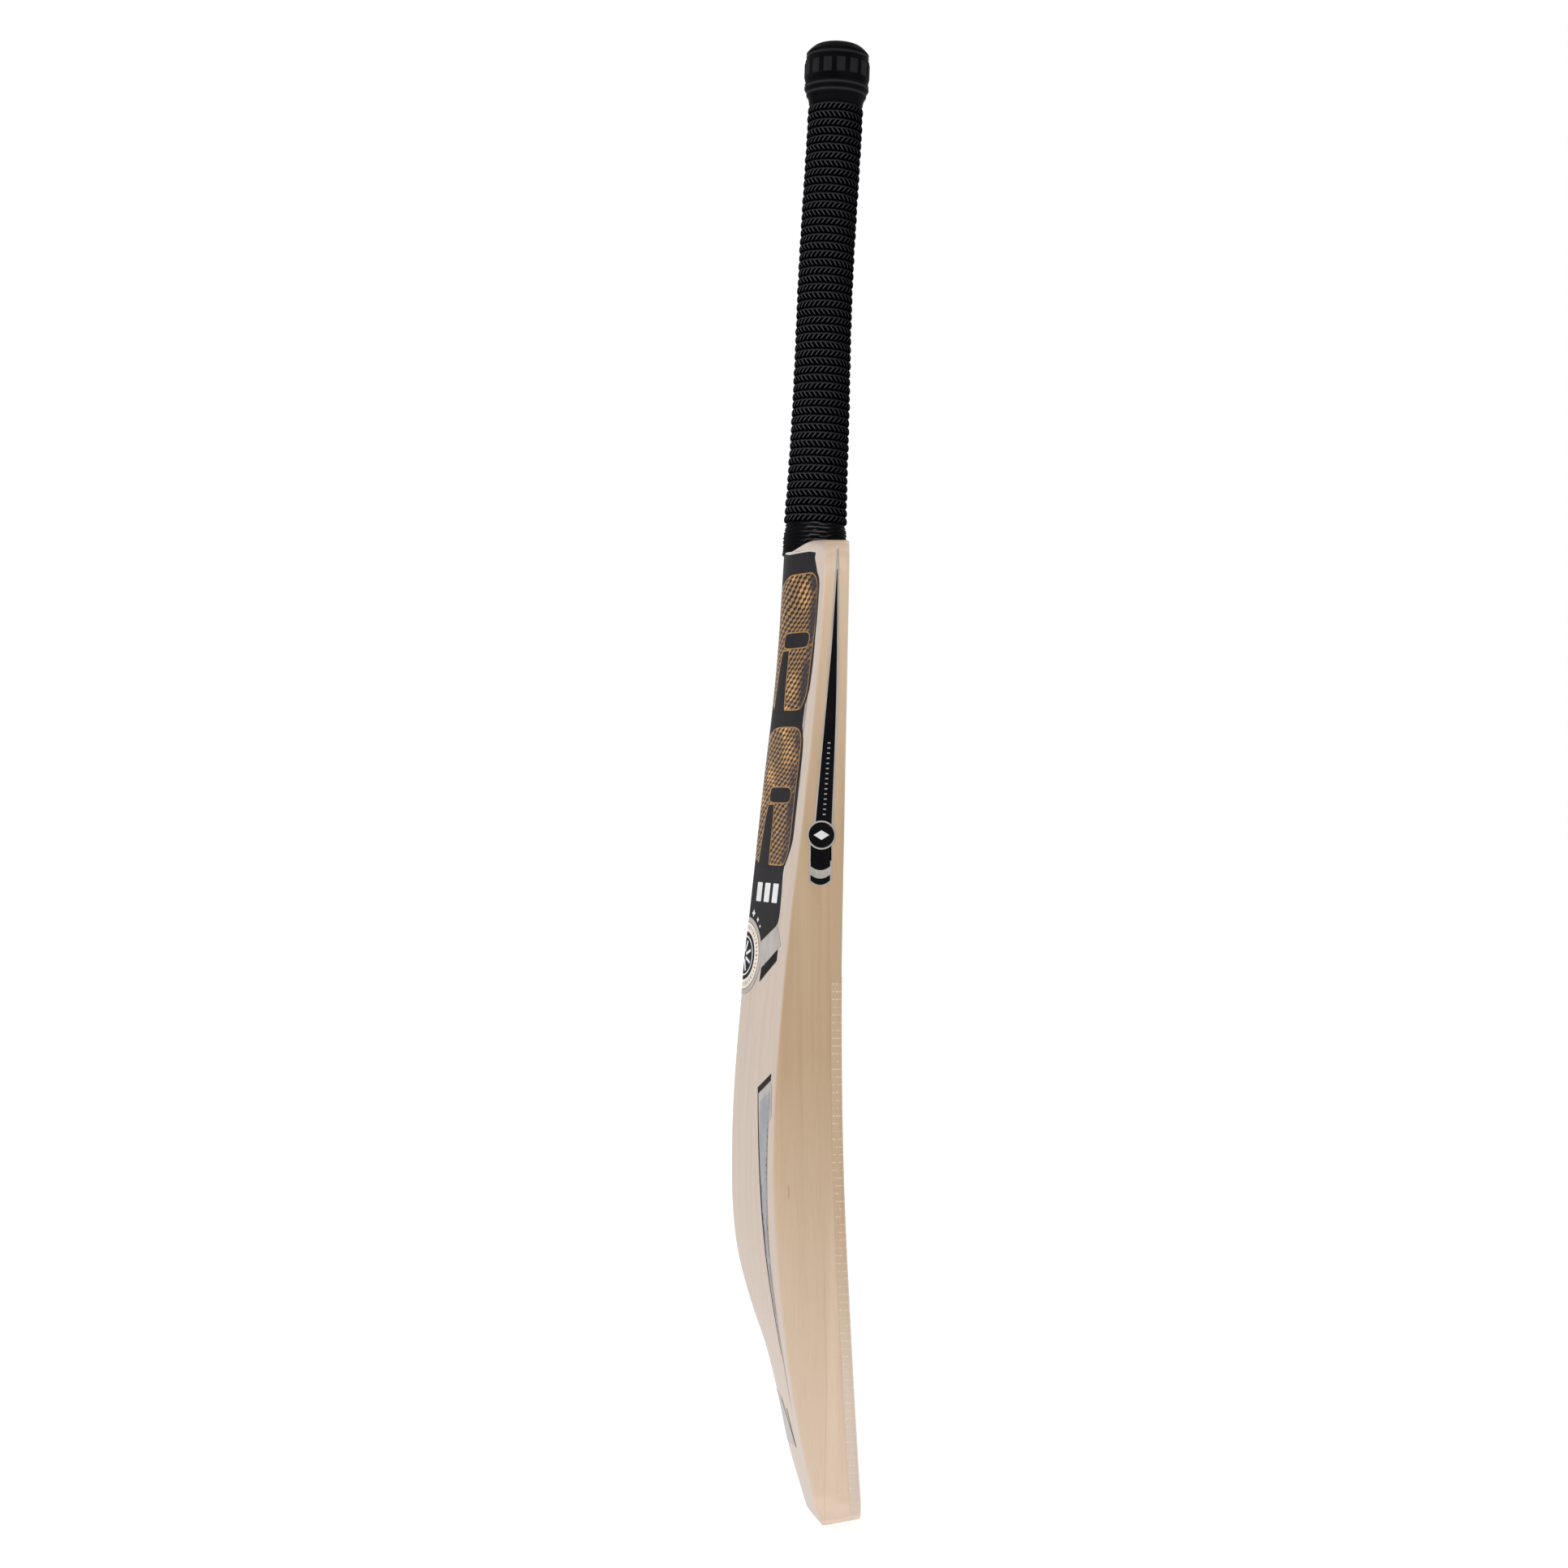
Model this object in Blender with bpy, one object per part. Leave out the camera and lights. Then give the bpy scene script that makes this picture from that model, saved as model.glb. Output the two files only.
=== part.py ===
"""A cricket bat standing on its toe: willow blade, spliced cane handle and rubber grip.

Metres, +Z up. The origin is the middle of the flat toe, the hitting face looks towards -Y and the
spine towards +Y. The blade is a loft through sections that change in width, thickness and back shape.
The handle's cane strips and rubber springs are all cut from one blank: a turned handle with a wedge
that fills the blade's V splice.
"""

import math

import bmesh
import bpy

# Driving dimensions
BAT_LENGTH = 0.851
BLADE_LENGTH = 0.563
BLADE_WIDTH = 0.108
TOE_CORNER = 0.030  # radius of the toe's corners, seen from the front
TOE_ROUNDING = 0.003  # radius where the face and the back turn into the toe
SHOULDER_RUN = 0.034  # how far each shoulder's curve reaches across the blade
SHOULDER_DROP = 0.026  # and how far it reaches down
NECK_DIP = 0.007  # how much lower the blade's top is at the back than at the face
NECK_START = 0.010  # the y where the dip starts, and how far it takes
NECK_RUN = 0.020
FACE_CROWN = 0.0010
FACE_CORNER = 0.0020
FACE_CORNER_SHARE = 0.35  # of the edge, at most, where the blade is thin
BACK_CORNER = 0.0015
SPLICE_DEPTH = 0.118
SPLICE_TIP = 0.0020
GAP = 0.0003  # the glue line between two pieces that touch
FRONT, BACK, SIDE = -0.040, 0.090, 0.070  # planes clear of the whole bat, for cutters
SPARE = 0.003  # how far a shape that will be trimmed starts over the trim

# Lines along the blade, as (height, value) points that a smooth curve passes through
FACE_LINE = [
    (0.000, -0.0132),
    (0.100, -0.0075),
    (0.200, -0.0029),
    (0.290, -0.0017),
    (0.400, -0.0033),
    (0.563, -0.0065),
]
SPINE_LINE = [
    (0.000, 0.0165),
    (0.012, 0.0203),
    (0.035, 0.0272),
    (0.066, 0.0338),
    (0.094, 0.0407),
    (0.122, 0.0500),
    (0.150, 0.0573),
    (0.175, 0.0603),
    (0.208, 0.0609),
    (0.240, 0.0600),
    (0.300, 0.0553),
    (0.407, 0.0441),
    (0.492, 0.0346),
    (0.563, 0.0300),
]
EDGE_THICKNESS = [
    (0.000, 0.0212),
    (0.022, 0.0258),
    (0.075, 0.0336),
    (0.140, 0.0385),
    (0.180, 0.0396),
    (0.235, 0.0382),
    (0.320, 0.0318),
    (0.450, 0.0196),
    (0.550, 0.0140),
    (0.563, 0.0140),
]
# The back runs from edge to spine as (1 - u ** ROUNDNESS) ** HOLLOW, where u is 1 at the edge
ROUNDNESS = [(0.000, 1.20), (0.400, 1.20), (0.500, 1.70), (0.563, 2.00)]
HOLLOW = [(0.000, 1.10), (0.400, 1.15), (0.480, 1.50), (0.537, 2.10), (0.563, 0.60)]

# The handle, along the height
HANDLE_MIDDLE = [
    (0.430, 0.0170),
    (0.570, 0.0124),
    (0.634, 0.0093),
    (0.720, 0.0061),
    (0.812, 0.0006),
    (0.851, -0.0010),
]
GRIP_RADIUS = [
    (0.556, 0.0184),
    (0.570, 0.0182),
    (0.592, 0.0174),
    (0.634, 0.0166),
    (0.677, 0.0160),
    (0.812, 0.0157),
]
COLLAR_RADIUS = 0.0190
COLLAR_RIM = 0.0035  # radius of its rounded top edge
COLLAR_FOOT = 0.8185
COLLAR_START = 0.8310
HANDLE_OVAL = 0.95  # width across over depth front to back
GRIP_WALL = 0.0016
GRIP_LIP = 0.0018  # the rubber that turns over the top of the handle
GRIP_MOUTH = 0.0105
BLANK_FOOT = 0.550  # where the turned part of the handle starts
BINDING_WALL = 0.0005
BINDING_FOOT = 0.578
BINDING_END = 0.006  # how far under the top the thread ends
HANDLE_HEIGHTS = [0.594, 0.615, 0.645, 0.680, 0.720, 0.765, 0.790, COLLAR_FOOT]
CANE_HALF_STRIP = 0.0052  # half the width of the middle strip of each layer
CANE_INNER_LAYER = 0.0050
SPRING_THICKNESS = 0.0016
CELL_HEIGHTS = [0.570, 0.720]  # where the layers bend with the handle

# Stuck-on sheets
FACING_TOP = 0.312
FACING_FOOT = TOE_CORNER * (1 - math.cos(math.radians(48)))  # at a section of the rounded toe
FACING_WRAP = 0.0060
FACING_CLEARANCE = 0.0010  # between the facing and the rounded back of a thin edge
STICKER_THICKNESS = 0.0003

FLANK_POINTS = 11
BLADE_HEIGHTS = (
    [TOE_ROUNDING * (1 - math.cos(math.radians(a))) for a in (0, 30, 60)]
    + [TOE_CORNER * (1 - math.cos(math.radians(a))) for a in (35, 48, 68, 90)]
    + [0.045, 0.060, 0.075, 0.090, 0.105, 0.118, 0.130, 0.142, 0.155, 0.170, 0.188, 0.208, 0.230]
    + [0.255, 0.283, 0.312, 0.345, 0.380, 0.415, 0.450, 0.475, 0.500, 0.520]
    + [BLADE_LENGTH - SHOULDER_DROP * (1 - math.sin(math.radians(a))) for a in (0, 25, 45, 62)]
)
# Outlines of stickers, as (height, distance from the middle) points
BACK_STICKER = [
    (0.3010, 0.0040),
    (0.3080, 0.0170),
    (0.3180, 0.0230),
    (0.3290, 0.0430),
    (0.3430, 0.0400),
    (0.3780, 0.0410),
    (0.4500, 0.0420),
    (0.5370, 0.0435),
    (0.5550, 0.0360),
]
CHEVRON_INNER = [
    (0.0660, 0.0410),
    (0.1500, 0.0400),
    (0.1950, 0.0383),
    (0.2260, 0.0348),
    (0.2500, 0.0325),
    (0.2590, 0.0440),
]
CHEVRON_OUTER = [
    (0.0660, 0.0425),
    (0.1500, 0.0440),
    (0.2260, 0.0465),
    (0.2340, 0.0500),
    (0.2520, 0.0490),
    (0.2590, 0.0475),
]


def through(points, height):
    """The value at a height on a smooth curve through (height, value) points."""
    height = min(max(height, points[0][0]), points[-1][0])
    slopes = [(b[1] - a[1]) / (b[0] - a[0]) for a, b in zip(points, points[1:], strict=False)]
    i = max(k for k in range(len(slopes)) if points[k][0] <= height)
    (low, start), (high, end) = points[i], points[i + 1]
    before = slopes[i] if i == 0 else (slopes[i - 1] + slopes[i]) / 2
    after = slopes[i] if i == len(slopes) - 1 else (slopes[i] + slopes[i + 1]) / 2
    span = high - low
    t = (height - low) / span
    return (
        start * (1 + 2 * t) * (1 - t) ** 2
        + before * span * t * (1 - t) ** 2
        + end * t * t * (3 - 2 * t)
        - after * span * t * t * (1 - t)
    )


def rounding(radius, depth):
    """How far a quarter round of this radius pulls a side in, at a depth below its start."""
    reach = radius - min(max(depth, 0.0), radius)
    return radius - math.sqrt(radius * radius - reach * reach)


def half_width(height):
    width = BLADE_WIDTH / 2 - rounding(TOE_CORNER, height)
    climb = max(height - (BLADE_LENGTH - SHOULDER_DROP), 0.0) / SHOULDER_DROP
    return width - SHOULDER_RUN * (1 - math.sqrt(max(1 - climb * climb, 0.0)))


def face_y(height):
    return through(FACE_LINE, height) + rounding(TOE_ROUNDING, height)


def edge_back_y(height):
    return through(FACE_LINE, height) + through(EDGE_THICKNESS, height) - rounding(TOE_ROUNDING, height)


def spine_y(height):
    return through(SPINE_LINE, height) - rounding(TOE_ROUNDING, height)


def back_y(x, height):
    """The back's y at a distance x from the spine."""
    u = min(abs(x) / half_width(height), 1.0)
    rise = (1 - u ** through(ROUNDNESS, height)) ** through(HOLLOW, height)
    return edge_back_y(height) + (spine_y(height) - edge_back_y(height)) * rise


def half_section(height):
    """The blade's outline at a height from the middle of the face round one edge to the spine."""
    width, face, back = half_width(height), face_y(height), edge_back_y(height)
    face_corner = min(FACE_CORNER, (back - face) * FACE_CORNER_SHARE)
    points = []
    for share in (0.0, 0.5, 1.0):
        x = share * (width - face_corner)
        points.append((x, face - FACE_CROWN * (1 - share * share)))
    for angle in (-60, -30, 0):
        turn = math.radians(angle)
        x = width - face_corner * (1 - math.cos(turn))
        points.append((x, face + face_corner * (1 + math.sin(turn))))
    for angle in (0, 35):
        turn = math.radians(angle)
        x = width - BACK_CORNER * (1 - math.cos(turn))
        points.append((x, back - BACK_CORNER * (1 - math.sin(turn))))
    for k in range(FLANK_POINTS):
        x = (width - BACK_CORNER / 2) * (1 - k / (FLANK_POINTS - 1))
        points.append((x, back_y(x, height)))
    return points


def blade_top(y):
    """The height of the blade's top, which dips towards the back."""
    t = min(max((y - NECK_START) / NECK_RUN, 0.0), 1.0)
    return BLADE_LENGTH - NECK_DIP * t * t * (3 - 2 * t)


def mirrored(half):
    """A whole outline from the half with x >= 0 that starts and ends on the middle plane."""
    return half + [(-x, y) for x, y in half[-2:0:-1]]


def blade_loft(name, cutters, collection):
    """The whole blade without its splice, trimmed to the dipping line of its top."""
    rings = [[(x, y, z) for x, y in mirrored(half_section(z))] for z in BLADE_HEIGHTS]
    top = BLADE_LENGTH + SPARE
    rings.append([(x, y, top) for x, y in mirrored(half_section(BLADE_LENGTH))])
    blade = loft(name, rings, collection)
    ys = [FRONT] + [NECK_START + NECK_RUN * k / 6 for k in range(7)] + [BACK]
    outline = [(y, blade_top(y)) for y in ys]
    outline += [(y, top + SPARE) for y in reversed(ys)]
    trim = loft(name + "_trim", [[(x, y, z) for y, z in outline] for x in (-SIDE, SIDE)], cutters)
    boolean(blade, "DIFFERENCE", trim)
    return blade


def make_object(name, mesh_maker, collection):
    """An object whose mesh is filled by mesh_maker and whose faces all point out."""
    shape = bmesh.new()
    mesh_maker(shape)
    bmesh.ops.recalc_face_normals(shape, faces=shape.faces)
    mesh = bpy.data.meshes.new(name)
    shape.to_mesh(mesh)
    shape.free()
    mesh.shade_smooth()
    mesh.set_sharp_from_angle(angle=math.radians(35))
    made = bpy.data.objects.new(name, mesh)
    collection.objects.link(made)
    return made


def loft(name, rings, collection, closed=False):
    """A solid skinned over rings of points. Its two ends are capped, or joined where it is closed."""

    def fill(shape):
        loops = [[shape.verts.new(point) for point in ring] for ring in rings]
        count = len(loops[0])
        pairs = list(zip(loops, loops[1:] + loops[:1], strict=True))
        for low, high in pairs if closed else pairs[:-1]:
            for k in range(count):
                n = (k + 1) % count
                shape.faces.new((low[k], low[n], high[n], high[k]))
        if not closed:
            for cap in (loops[0], loops[-1]):
                cap_across(shape, cap)

    return make_object(name, fill, collection)


def cap_across(shape, loop):
    """Closes a loop with a ladder of faces from each vertex to its opposite number."""
    count = len(loop)
    half = count // 2
    for k in range(half):
        corners = [loop[k], loop[k + 1], loop[-k - 1], loop[-k]]
        unique = [v for i, v in enumerate(corners) if v not in corners[:i]]
        if len(unique) > 2:
            shape.faces.new(unique)


def sheet(name, rows, collection):
    """A thin solid over rows of (point, outward direction), a gap clear of what it is stuck to."""
    rings = []
    for row in rows:
        ring = []
        for lift, run in ((GAP, row), (GAP + STICKER_THICKNESS, row[::-1])):
            ring += [tuple(p + lift * d for p, d in zip(point, out, strict=True)) for point, out in run]
        rings.append(ring)
    return loft(name, rings, collection)


def boolean(target, operation, other, solver="EXACT"):
    modifier = target.modifiers.new(operation.title(), "BOOLEAN")
    modifier.operation = operation
    modifier.solver = solver
    modifier.object = other


def material(name, colour, roughness):
    made = bpy.data.materials.new(name)
    made.use_nodes = True
    made.diffuse_color = (*colour, 1.0)
    shader = made.node_tree.nodes["Principled BSDF"]
    shader.inputs["Base Color"].default_value = (*colour, 1.0)
    shader.inputs["Roughness"].default_value = roughness
    return made


def heights_between(low, high):
    """The blade's own section heights between two others, which keep a sheet off its facets."""
    margin = 0.002
    return [low] + [z for z in BLADE_HEIGHTS if low + margin < z < high - margin] + [high]


def heights_through(points):
    """The heights of (height, value) points with the blade's own between them."""
    own = {z for z, _ in points}
    low, high = min(own), max(own)
    return sorted(own | {z for z in BLADE_HEIGHTS if low + FACING_CLEARANCE < z < high})


def splice_prism(name, slack, collection):
    """The V that the handle's wedge fills, through the whole depth of the blade."""
    tip_z = BLADE_LENGTH - SPLICE_DEPTH - slack
    right = [
        (SPLICE_TIP + slack, tip_z),
        (HANDLE_OVAL * cane_radius(BLADE_LENGTH) + slack, BLADE_LENGTH),
        (BLADE_WIDTH / 2, BLADE_LENGTH + 0.001),
        (BLADE_WIDTH / 2, BAT_LENGTH),
    ]
    outline = [(0.0, tip_z)] + right + [(0.0, BAT_LENGTH)] + [(-x, z) for x, z in reversed(right)]
    rings = [[(x, y, z) for x, z in outline] for y in (FRONT, BACK)]
    return loft(name, rings, collection)


def grip_radius(height):
    """The grip's outer radius front to back, without its fine rings."""
    climb = min(max((height - COLLAR_FOOT) / (COLLAR_START - COLLAR_FOOT), 0.0), 1.0)
    step = climb * climb * (3 - 2 * climb)
    return through(GRIP_RADIUS, height) * (1 - step) + COLLAR_RADIUS * step


def cane_radius(height):
    """The turned cane's radius: the grip's, less the rubber, the thread and the gaps."""
    return through(GRIP_RADIUS, height) - GRIP_WALL - BINDING_WALL - 2 * GAP


def handle_lean(height):
    """How far the handle's middle line moves in y for each metre of height."""
    step = 0.001
    low, high = min(height, BAT_LENGTH - step), min(height, BAT_LENGTH - step) + step
    return (through(HANDLE_MIDDLE, high) - through(HANDLE_MIDDLE, low)) / step


def handle_ring(height, radius, sides=32, foot=None):
    """A ring of points square to the handle. foot, a function of y, sets each point's height instead."""
    middle, lean = through(HANDLE_MIDDLE, height), handle_lean(height)
    ring = []
    for k in range(sides):
        turn = 2 * math.pi * k / sides
        x = HANDLE_OVAL * radius * math.sin(turn)
        y = middle - radius * math.cos(turn)
        ring.append((x, y, foot(y) if foot else height - lean * (y - middle)))
    return ring


def grip_top():
    """The height of the middle of the grip's top, whose spine side is the bat's highest point."""
    return BAT_LENGTH + handle_lean(BAT_LENGTH) * (COLLAR_RADIUS - COLLAR_RIM)


def make_blade(parts, cutters):
    blade = blade_loft("blade", cutters, parts)
    boolean(blade, "DIFFERENCE", splice_prism("splice_cutter", GAP, cutters))
    return blade


def make_handle_blank(cutters):
    """The turned handle joined to the wedge that follows the blade's faces."""
    top = grip_top() - GRIP_LIP - GAP
    heights = [BLANK_FOOT, BINDING_FOOT, *HANDLE_HEIGHTS, top]
    blank = loft("handle_blank", [handle_ring(z, cane_radius(z)) for z in heights], cutters)
    # The handle's side touches the prism's along a line, which the exact solver leaves unclean.
    boolean(blank, "UNION", blade_loft("splice_wedge", cutters, cutters), "MANIFOLD")
    boolean(blank, "INTERSECT", splice_prism("splice_core", 0.0, cutters), "MANIFOLD")
    return blank


def handle_cell(name, x_range, depth_range, collection):
    """A slab of the handle, between two widths and two depths from its middle plane."""
    foot, top = BLADE_LENGTH - SPLICE_DEPTH - SPARE, BAT_LENGTH + SPARE
    rings = []
    for z in (foot, *CELL_HEIGHTS, top):
        middle = through(HANDLE_MIDDLE, z)
        (left, right), (front, back) = x_range, [middle + d for d in depth_range]
        rings.append([(left, front, z), (right, front, z), (right, back, z), (left, back, z)])
    return loft(name, rings, collection)


def make_handle(parts, cutters):
    """Twelve cane strips in four layers, with a rubber spring between each two layers."""
    blank = make_handle_blank(cutters)
    half_spring = SPRING_THICKNESS / 2
    inner = half_spring + GAP
    outer = inner + CANE_INNER_LAYER + GAP
    layers = {
        "front": (-SIDE, -outer - SPRING_THICKNESS - GAP),
        "mid_front": (-inner - CANE_INNER_LAYER, -inner),
        "mid_back": (inner, inner + CANE_INNER_LAYER),
        "back": (outer + SPRING_THICKNESS + GAP, SIDE),
    }
    columns = {
        "left": (-SIDE, -CANE_HALF_STRIP - GAP),
        "centre": (-CANE_HALF_STRIP, CANE_HALF_STRIP),
        "right": (CANE_HALF_STRIP + GAP, SIDE),
    }
    springs = {
        "rubber_spring_front": (-outer - SPRING_THICKNESS, -outer),
        "rubber_spring_middle": (-half_spring, half_spring),
        "rubber_spring_back": (outer, outer + SPRING_THICKNESS),
    }
    canes = []
    for layer, depth in layers.items():
        for column, width in columns.items():
            canes.append(handle_cell(f"cane_{layer}_{column}", width, depth, parts))
    rubbers = [handle_cell(name, (-SIDE, SIDE), depth, parts) for name, depth in springs.items()]
    for piece in canes + rubbers:
        boolean(piece, "INTERSECT", blank)
    return canes, rubbers


def make_binding(parts):
    """The waxed thread wound round the cane, as a sleeve."""
    heights = [BINDING_FOOT, *HANDLE_HEIGHTS, BAT_LENGTH - BINDING_END]
    inside = [handle_ring(z, cane_radius(z) + GAP) for z in heights]
    outside = [handle_ring(z, cane_radius(z) + GAP + BINDING_WALL) for z in reversed(heights)]
    return loft("handle_binding", inside + outside, parts, closed=True)


def make_grip(parts):
    """The rubber sleeve with its thicker collar, open at the mouth over the end of the cane."""

    def foot(y):
        return blade_top(y) + GAP

    heights = [BINDING_FOOT, *HANDLE_HEIGHTS]
    outside = [handle_ring(BLADE_LENGTH, grip_radius(BLADE_LENGTH), foot=foot)]
    rise = (COLLAR_START - COLLAR_FOOT) / 3
    taper = [COLLAR_FOOT + rise, COLLAR_START - rise, COLLAR_START]
    outside += [handle_ring(z, grip_radius(z)) for z in [*heights, *taper]]
    top = grip_top()
    for angle in (0, 30, 60, 90):
        turn = math.radians(angle)
        z = top - COLLAR_RIM * (1 - math.sin(turn))
        outside.append(handle_ring(z, COLLAR_RADIUS - COLLAR_RIM * (1 - math.cos(turn))))
    under_lip = top - GRIP_LIP
    inside = [handle_ring(top, GRIP_MOUTH), handle_ring(under_lip, GRIP_MOUTH)]
    for z in [under_lip, *reversed(heights)]:
        inside.append(handle_ring(z, through(GRIP_RADIUS, z) - GRIP_WALL))
    inside.append(handle_ring(BLADE_LENGTH, through(GRIP_RADIUS, BLADE_LENGTH) - GRIP_WALL, foot=foot))
    return loft("grip", outside + inside, parts, closed=True)


def outward(points):
    """Each point of an open run across the blade with its outward direction in the section's plane."""
    out = []
    for k, (x, y) in enumerate(points):
        before, after = points[max(k - 1, 0)], points[min(k + 1, len(points) - 1)]
        across, along = after[0] - before[0], after[1] - before[1]
        length = math.hypot(across, along)
        out.append(((x, y), (along / length, -across / length)))
    return out


def make_facing(parts):
    """The fibre sheet over the lower face, turned a little way round both edges."""
    rows = []
    for z in heights_between(FACING_FOOT, FACING_TOP):
        half = half_section(z)[:6]
        furthest = edge_back_y(z) - BACK_CORNER - FACING_CLEARANCE
        wrap_y = max(min(face_y(z) + FACING_WRAP, furthest), half[-1][1] + FACING_CLEARANCE)
        half.append((half_width(z), wrap_y))
        whole = [(-x, y) for x, y in half[:0:-1]] + half
        rows.append([((x, y, z), (nx, ny, 0.0)) for (x, y), (nx, ny) in outward(whole)])
    return sheet("facing_sheet", rows, parts)


def flank_run(height, start, end, steps=20):
    """Points across the back at a height, from x = start to x = end."""
    xs = [start + (end - start) * k / steps for k in range(steps + 1)]
    run = outward([(x, back_y(x, height)) for x in xs])
    return [((x, y, height), (-nx, -ny, 0.0)) for (x, y), (nx, ny) in run]


def make_back_sticker(parts):
    """The main sticker, wrapped over the spine from the shoulders down to its round badge."""
    rows = []
    for z in heights_through(BACK_STICKER):
        reach = piecewise(BACK_STICKER, z)
        rows.append(flank_run(z, -reach, reach))
    return sheet("back_sticker", rows, parts)


def piecewise(points, height):
    """The value at a height on the straight lines between (height, value) points."""
    for (low, start), (high, end) in zip(points, points[1:], strict=False):
        if low <= height <= high:
            return start + (end - start) * (height - low) / (high - low)
    raise ValueError(f"{height} is outside the points")


def make_lower_stickers(parts):
    """A chevron on each side of the back that runs down the edge as a thinning stripe."""
    made = []
    for side, sign in (("left", -1), ("right", 1)):
        rows = []
        for z in heights_through(CHEVRON_INNER + CHEVRON_OUTER):
            ends = sorted((sign * piecewise(CHEVRON_INNER, z), sign * piecewise(CHEVRON_OUTER, z)))
            rows.append(flank_run(z, *ends, steps=4))
        made.append(sheet(f"lower_sticker_{side}", rows, parts))
    return made


def make_toe_sticker(parts):
    heights = heights_between(0.046, 0.070)
    return sheet("toe_sticker", [flank_run(z, -0.036, 0.036) for z in heights], parts)


def make_edge_stickers(parts):
    """The long tapered label along the middle of each edge."""
    middle = [(0.365, 0.0108), (0.405, 0.0081), (0.471, 0.0037), (0.545, 0.0005)]
    half_widths = [(0.365, 0.0055), (0.393, 0.0072), (0.405, 0.0050), (0.471, 0.0030), (0.545, 0.0006)]
    heights = sorted({z for z, _ in middle + half_widths} | {z for z in BLADE_HEIGHTS if 0.366 < z < 0.545})
    made = []
    for side, sign in (("left", -1), ("right", 1)):
        rows = []
        for z in heights:
            centre, reach = piecewise(middle, z), piecewise(half_widths, z)
            ys = [centre - reach, centre, centre + reach]
            rows.append([((sign * half_width(z), y, z), (sign, 0.0, 0.0)) for y in ys])
        made.append(sheet(f"edge_sticker_{side}", rows, parts))
    return made


def new_collection(name, hidden=False):
    made = bpy.data.collections.new(name)
    made.hide_render = hidden
    bpy.context.scene.collection.children.link(made)
    return made


def clear_scene():
    for item in list(bpy.data.objects):
        bpy.data.objects.remove(item, do_unlink=True)


def main():
    clear_scene()
    parts = new_collection("cricket_bat")
    cutters = new_collection("cutters", hidden=True)
    canes, rubbers = make_handle(parts, cutters)
    willow = material("willow", (0.70, 0.52, 0.34), 0.45)
    cane = material("cane", (0.62, 0.42, 0.20), 0.55)
    spring_rubber = material("spring_rubber", (0.05, 0.04, 0.04), 0.80)
    thread = material("waxed_thread", (0.60, 0.50, 0.38), 0.60)
    grip_rubber = material("grip_rubber", (0.012, 0.012, 0.014), 0.45)
    fibre = material("fibre_facing", (0.72, 0.60, 0.46), 0.30)
    vinyl = material("sticker_film", (0.03, 0.03, 0.03), 0.25)
    stickers = [make_back_sticker(parts), make_toe_sticker(parts)]
    stickers += make_lower_stickers(parts) + make_edge_stickers(parts)
    finishes = [
        (willow, [make_blade(parts, cutters)]),
        (cane, canes),
        (spring_rubber, rubbers),
        (thread, [make_binding(parts)]),
        (grip_rubber, [make_grip(parts)]),
        (fibre, [make_facing(parts)]),
        (vinyl, stickers),
    ]
    for finish, pieces in finishes:
        for piece in pieces:
            piece.data.materials.append(finish)
    for helper in cutters.objects:
        helper.hide_render = True
        helper.display_type = "WIRE"


if __name__ == "__main__":
    main()
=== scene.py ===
"""The looks of the cricket bat: willow blade, cane handle, ringed rubber grip, fibre facing and stickers.

Metres, +Z up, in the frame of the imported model: the origin is the middle of the flat toe, the hitting
face looks towards -Y and the spine towards +Y. The blade's surface is the same set of smooth lines that
shape the CAD blade, cut finely here. Stickers are thin sheets laid on that surface.
"""

import math

import bmesh
import bpy
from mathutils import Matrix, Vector

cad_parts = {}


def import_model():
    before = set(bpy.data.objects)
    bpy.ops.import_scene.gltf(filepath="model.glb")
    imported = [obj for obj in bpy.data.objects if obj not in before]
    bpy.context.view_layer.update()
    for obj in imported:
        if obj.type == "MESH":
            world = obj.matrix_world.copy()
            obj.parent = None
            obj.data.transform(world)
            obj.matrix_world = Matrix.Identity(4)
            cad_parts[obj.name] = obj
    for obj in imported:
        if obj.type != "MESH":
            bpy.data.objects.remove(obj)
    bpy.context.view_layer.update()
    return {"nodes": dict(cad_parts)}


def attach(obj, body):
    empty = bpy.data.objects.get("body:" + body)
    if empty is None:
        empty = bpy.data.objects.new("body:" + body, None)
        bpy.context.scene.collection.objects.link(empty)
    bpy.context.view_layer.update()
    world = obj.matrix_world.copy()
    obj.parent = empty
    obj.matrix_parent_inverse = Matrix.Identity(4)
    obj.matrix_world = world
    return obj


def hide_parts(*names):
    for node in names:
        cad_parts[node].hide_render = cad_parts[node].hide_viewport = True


# The blade, as the CAD has it
BAT_LENGTH = 0.851
BLADE_LENGTH = 0.563
BLADE_WIDTH = 0.108
TOE_CORNER = 0.030
TOE_ROUNDING = 0.003
TOE_SLANT = math.tan(math.radians(10.5))  # the toe rises towards the face
TOE_LEVEL = 0.0045  # the y where the slanted toe crosses z = 0
TOE_BACK = 0.0090  # and the y behind which it is level
TOE_REACH = 0.030
SHOULDER_RUN = 0.034
SHOULDER_DROP = 0.026
NECK_DIP = 0.007
NECK_START = 0.010
NECK_RUN = 0.020
FACE_CROWN = 0.0010
FACE_CORNER = 0.0020
FACE_CORNER_SHARE = 0.35
BACK_CORNER = 0.0015
SPLICE_DEPTH = 0.118
SPLICE_TIP = 0.0020
GAP = 0.0003

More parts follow.
